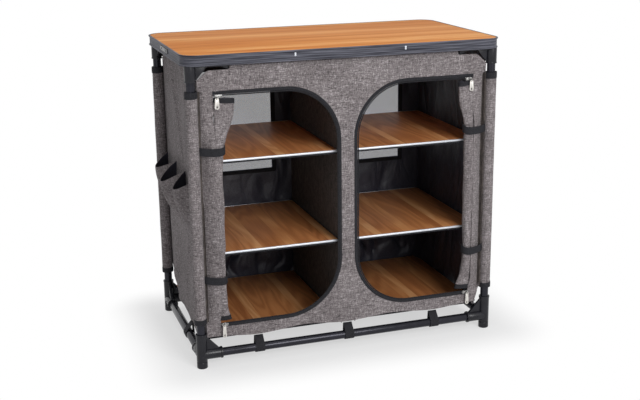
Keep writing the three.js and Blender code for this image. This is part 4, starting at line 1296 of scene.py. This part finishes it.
WALL_X, STRIP_X, WALL_CLOTH = mm(20, 19.5, 1.4)


def make_divider():
    """Two cloth walls and the strip that joins them at the back."""
    low, high = divider_low, divider_high
    walls = []
    for sign in (-1, 1):
        def wall(u, v):
            y, z = between(low.y, high.y, flipped(u, -sign)), between(low.z, high.z, v)
            slack = 1.4 * MM * (1 + ripple(y, z, 0.12, 0.2, 5.5 + sign))
            edge = step(min(y - low.y, high.y - y), 0, 30 * MM)
            return sign * (WALL_X - slack * edge), y, z
        walls.append(thickened(laid("wall", 60, 90, wall), WALL_CLOTH))

    def strip(u, v):
        return (1 - 2 * u) * STRIP_X, high.y, between(low.z, high.z, v)

    walls.append(thickened(laid("strip", 8, 90, strip), WALL_CLOTH))
    # The walls take the melange darkened as painted shade for the shadow inside the cells.
    divider = dressed(joined("divider_walls", walls), [SHADED_MELANGE], "divider")


LEDGES = (mm(20, 37), mm(366.7, 384))  # on the divider and on the side panel
LEDGE_INSET = 14 * MM


def make_ledges():
    for name, sign in SIDES:
        bars = []
        for shelf in ("upper", "middle"):
            low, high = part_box(f"shelf_{shelf}_{name}")
            for start, end in LEDGES:
                bar = block("ledge", (sign * start, low.y + LEDGE_INSET, low.z - 3.2 * MM),
                            (sign * end, high.y - LEDGE_INSET, low.z - 0.3 * MM))
                bars.append(bevelled(bar, 1.1 * MM))
        dressed(smoothed(joined(f"shelf_ledges_{name}", bars)), [WEBBING])


# Shelves

SHELF_CORNER, TRIM_DEPTH, TRIM_HEIGHT = mm(10, 5, 6.4)


def make_shelf(name, level):
    low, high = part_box(f"shelf_{level}_{name}")
    body = f"{level}_shelf_{name}"
    top = high.z - 0.8 * MM
    board = block(f"shelf_board_{level}_{name}", low, (high.x, high.y, top))
    rounded(board, 2, SHELF_CORNER, 8)
    smoothed(bevelled(board, 0.5 * MM, 2, 60))
    # The board's edges and underside are black webbing as painted shade, so that a front edge seen
    # below the trim or the hem reads as shadow.
    dressed(board, [SHELF_WOOD, WEBBING], f"shelf_{level}_{name}", body)
    for face in board.data.polygons:
        face.material_index = 0 if face.normal.z > 0.5 else 1
    front = block("trim", (low.x + 0.3 * MM, low.y - 0.6 * MM, high.z - TRIM_HEIGHT),
                  (high.x - 0.3 * MM, low.y + TRIM_DEPTH, high.z))
    bevelled(front, 0.46 * TRIM_HEIGHT, 6, 40)
    rear = block("trim", (low.x + 8 * MM, high.y - 1.5 * MM, low.z + 1 * MM),
                 (high.x - 8 * MM, high.y + 0.3 * MM, top + 0.5 * MM))
    bevelled(rear, 0.6 * MM, 2)
    trim = smoothed(joined(f"shelf_trim_{level}_{name}", [front, rear]))
    # The lower shelf's trim is black plastic as painted shade, where it shows under the front hem.
    dressed(trim, [PLASTIC if level == "lower" else TRIM_METAL], body=body)


# Webbing loops on the base tubes

STRAP_WIDTH, STRAP_NOSE, STRAP_LEAN = mm(25, 2.6, 9)


def loop_path():
    """A loop round a tube, up to a narrow nose, as distances inwards and heights."""
    ring, nose = LEG_RADIUS + 2.2 * MM, STRAP_NOSE
    rise = floor_low.z - 0.3 * MM - nose - TUBE_HEIGHT
    turn = atan2(rise, STRAP_LEAN)
    spread = acos((ring - nose) / hypot(STRAP_LEAN, rise))
    return (arc((0, 0), (ring, ring), turn + spread, 2 * pi - 2 * spread, 24)
            + arc((STRAP_LEAN, rise), (nose, nose), turn - spread, 2 * spread, 8))


def make_loop(name, centre, inwards):
    """A webbing loop: inwards points from the tube to the middle of the cupboard."""
    path = loop_path()
    side = Vector((inwards.y, -inwards.x, 0))

    def place(u, v):
        reach, height = path[round(u * len(path)) % len(path)]
        narrow = 1 - 0.06 * step(height, 0.004, 0.02)
        across = (v - 0.5) * STRAP_WIDTH * narrow
        wave = 0.25 * MM * sin(9 * v) * step(height, 0.0, 0.02)
        return centre + inwards * (reach + wave) + side * across + Vector((0, 0, height))

    loop = thickened(outward(laid(f"base_loop_{name}", len(path), 8, place)), SINGLE_CLOTH)
    smoothed(bevelled(loop, 0.3 * MM, 2, 50), 50)
    dressed(loop, [WEBBING], f"base_strap_{name}")


def make_loops():
    for row, sign in (("front", -1), ("back", 1)):
        for place, x in (("left", -STRAP_SPACING), ("middle", 0.0), ("right", STRAP_SPACING)):
            make_loop(f"{row}_{place}", Vector((x, sign * LEG_Y, TUBE_HEIGHT)),
                      Vector((0, -sign, 0)))
    for name, sign in SIDES:
        low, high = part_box(f"base_strap_{name}")
        make_loop(name, Vector((sign * LEG_X, (low.y + high.y) / 2, TUBE_HEIGHT)),
                  Vector((-sign, 0, 0)))


# Zippers

TAG_THICKNESS, RING_RADIUS, RING_WIRE = mm(1.8, 3.2, 0.9)
SLOT_LOW, SLOT_HIGH = mm(3, 8.5)  # over the tag's foot
HOLE_DROP, HOLE_RADIUS, SHIELD_HEIGHT, SHIELD_CORNER = mm(3, 1.7, 7.5, 2.4)
SHIELDS = ((4, 5.8, 0), (5, 9, 2.5), (8.4, 10.2, 0))  # front, rear and inset in mm


def make_puller(name, end):
    """A flat tag with a slot at its foot and a hole at its head, on a small ring."""
    low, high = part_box(f"zip_puller_{end}_{name}")
    middle = (low.x + high.x) / 2
    head, foot = high.z - 2 * MM, low.z
    head_half, foot_half = (high.x - low.x) * 0.5, (high.x - low.x) * 0.62
    front, behind = low.y + 0.3 * MM, low.y + 0.3 * MM + 4 * MM
    outline = [(x, front, z) for x, z in (
        *arc((middle, head - head_half), (head_half, head_half), 0, pi, 8),
        *arc((middle, foot + foot_half * 0.8), (foot_half, foot_half * 0.8), pi, pi, 8))]
    tag = plate(f"pull_tag_{end}_{name}", outline, (0, TAG_THICKNESS, 0))
    slot = block("slot", (middle - foot_half * 0.3, front - MM, foot + SLOT_LOW),
                 (middle + foot_half * 0.3, behind, foot + SLOT_HIGH))
    hole = rod("hole", (middle, front - MM, head - HOLE_DROP), (middle, behind, head - HOLE_DROP),
               HOLE_RADIUS, 24)
    carved(tag, [bevelled(slot, 1 * MM, 3), hole])
    smoothed(bevelled(tag, 0.35 * MM, 2, 50), 40)
    dressed(tag, [TAG_METAL], f"zip_puller_{end}_{name}", f"{end}_puller_{name}")


def make_slider(name, end):
    """Two shields with a neck between them, and the ring that holds the tag."""
    low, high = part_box(f"zip_slider_{end}_{name}")
    tag_low, tag_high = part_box(f"zip_puller_{end}_{name}")
    hinge = Vector(((tag_low.x + tag_high.x) / 2, tag_low.y + 2.4 * MM, tag_high.z - 3.4 * MM))
    crown = low.z + SHIELD_HEIGHT
    shells = []
    for front, rear, shrink in SHIELDS:
        shrink *= MM
        shield = block("shield", (low.x + shrink, low.y + front * MM, low.z + shrink),
                       (high.x - shrink, low.y + rear * MM, crown - shrink))
        rounded(shield, 1, SHIELD_CORNER - shrink / 2, 6, 0.1 * MM)
        shells.append(bevelled(shield, 0.5 * MM, 2, 50))
    bpy.ops.mesh.primitive_torus_add(
        major_segments=28, minor_segments=10, major_radius=RING_RADIUS, minor_radius=RING_WIRE,
        location=hinge, rotation=(0, pi / 2, 0))
    shells.append(named("ring"))
    slider = smoothed(joined(f"pull_slider_{end}_{name}", shells), 40)
    dressed(slider, [ZIP_METAL], f"zip_slider_{end}_{name}", f"{end}_slider_{name}")


# Assembly

make_camera()
make_studio()
make_rim()
make_board()
for corner in CORNERS:
    make_bracket(*corner)
    make_leg(*corner)
    make_connector(*corner)
    make_foot(corner[0])
for rail in ("front", "back", "left", "right"):
    make_base_tube(rail)
make_front_panel()
make_front_seams()
make_back_panel()
make_floor_panel()
make_divider()
make_ledges()
make_pockets()
for side_name, side_sign in SIDES:
    make_sleeves(side_name, side_sign)
    # a strip of painted shade in the gap beside the leg sleeves
    make_seam_shade_strip(side_name, side_sign)
    make_side_panel(side_name, side_sign)
    make_window(side_name, side_sign)
    make_door_tape(side_name, side_sign)
    make_rolled_door(side_name, side_sign)
    for tie_level, tie_height in zip(("lower", "upper"), TIE_HEIGHTS):
        make_tie(side_name, side_sign, tie_level, tie_height)
    for shelf_level in ("upper", "middle", "lower"):
        make_shelf(side_name, shelf_level)
    for zip_end in ("top", "bottom"):
        make_slider(side_name, zip_end)
        make_puller(side_name, zip_end)
make_loops()
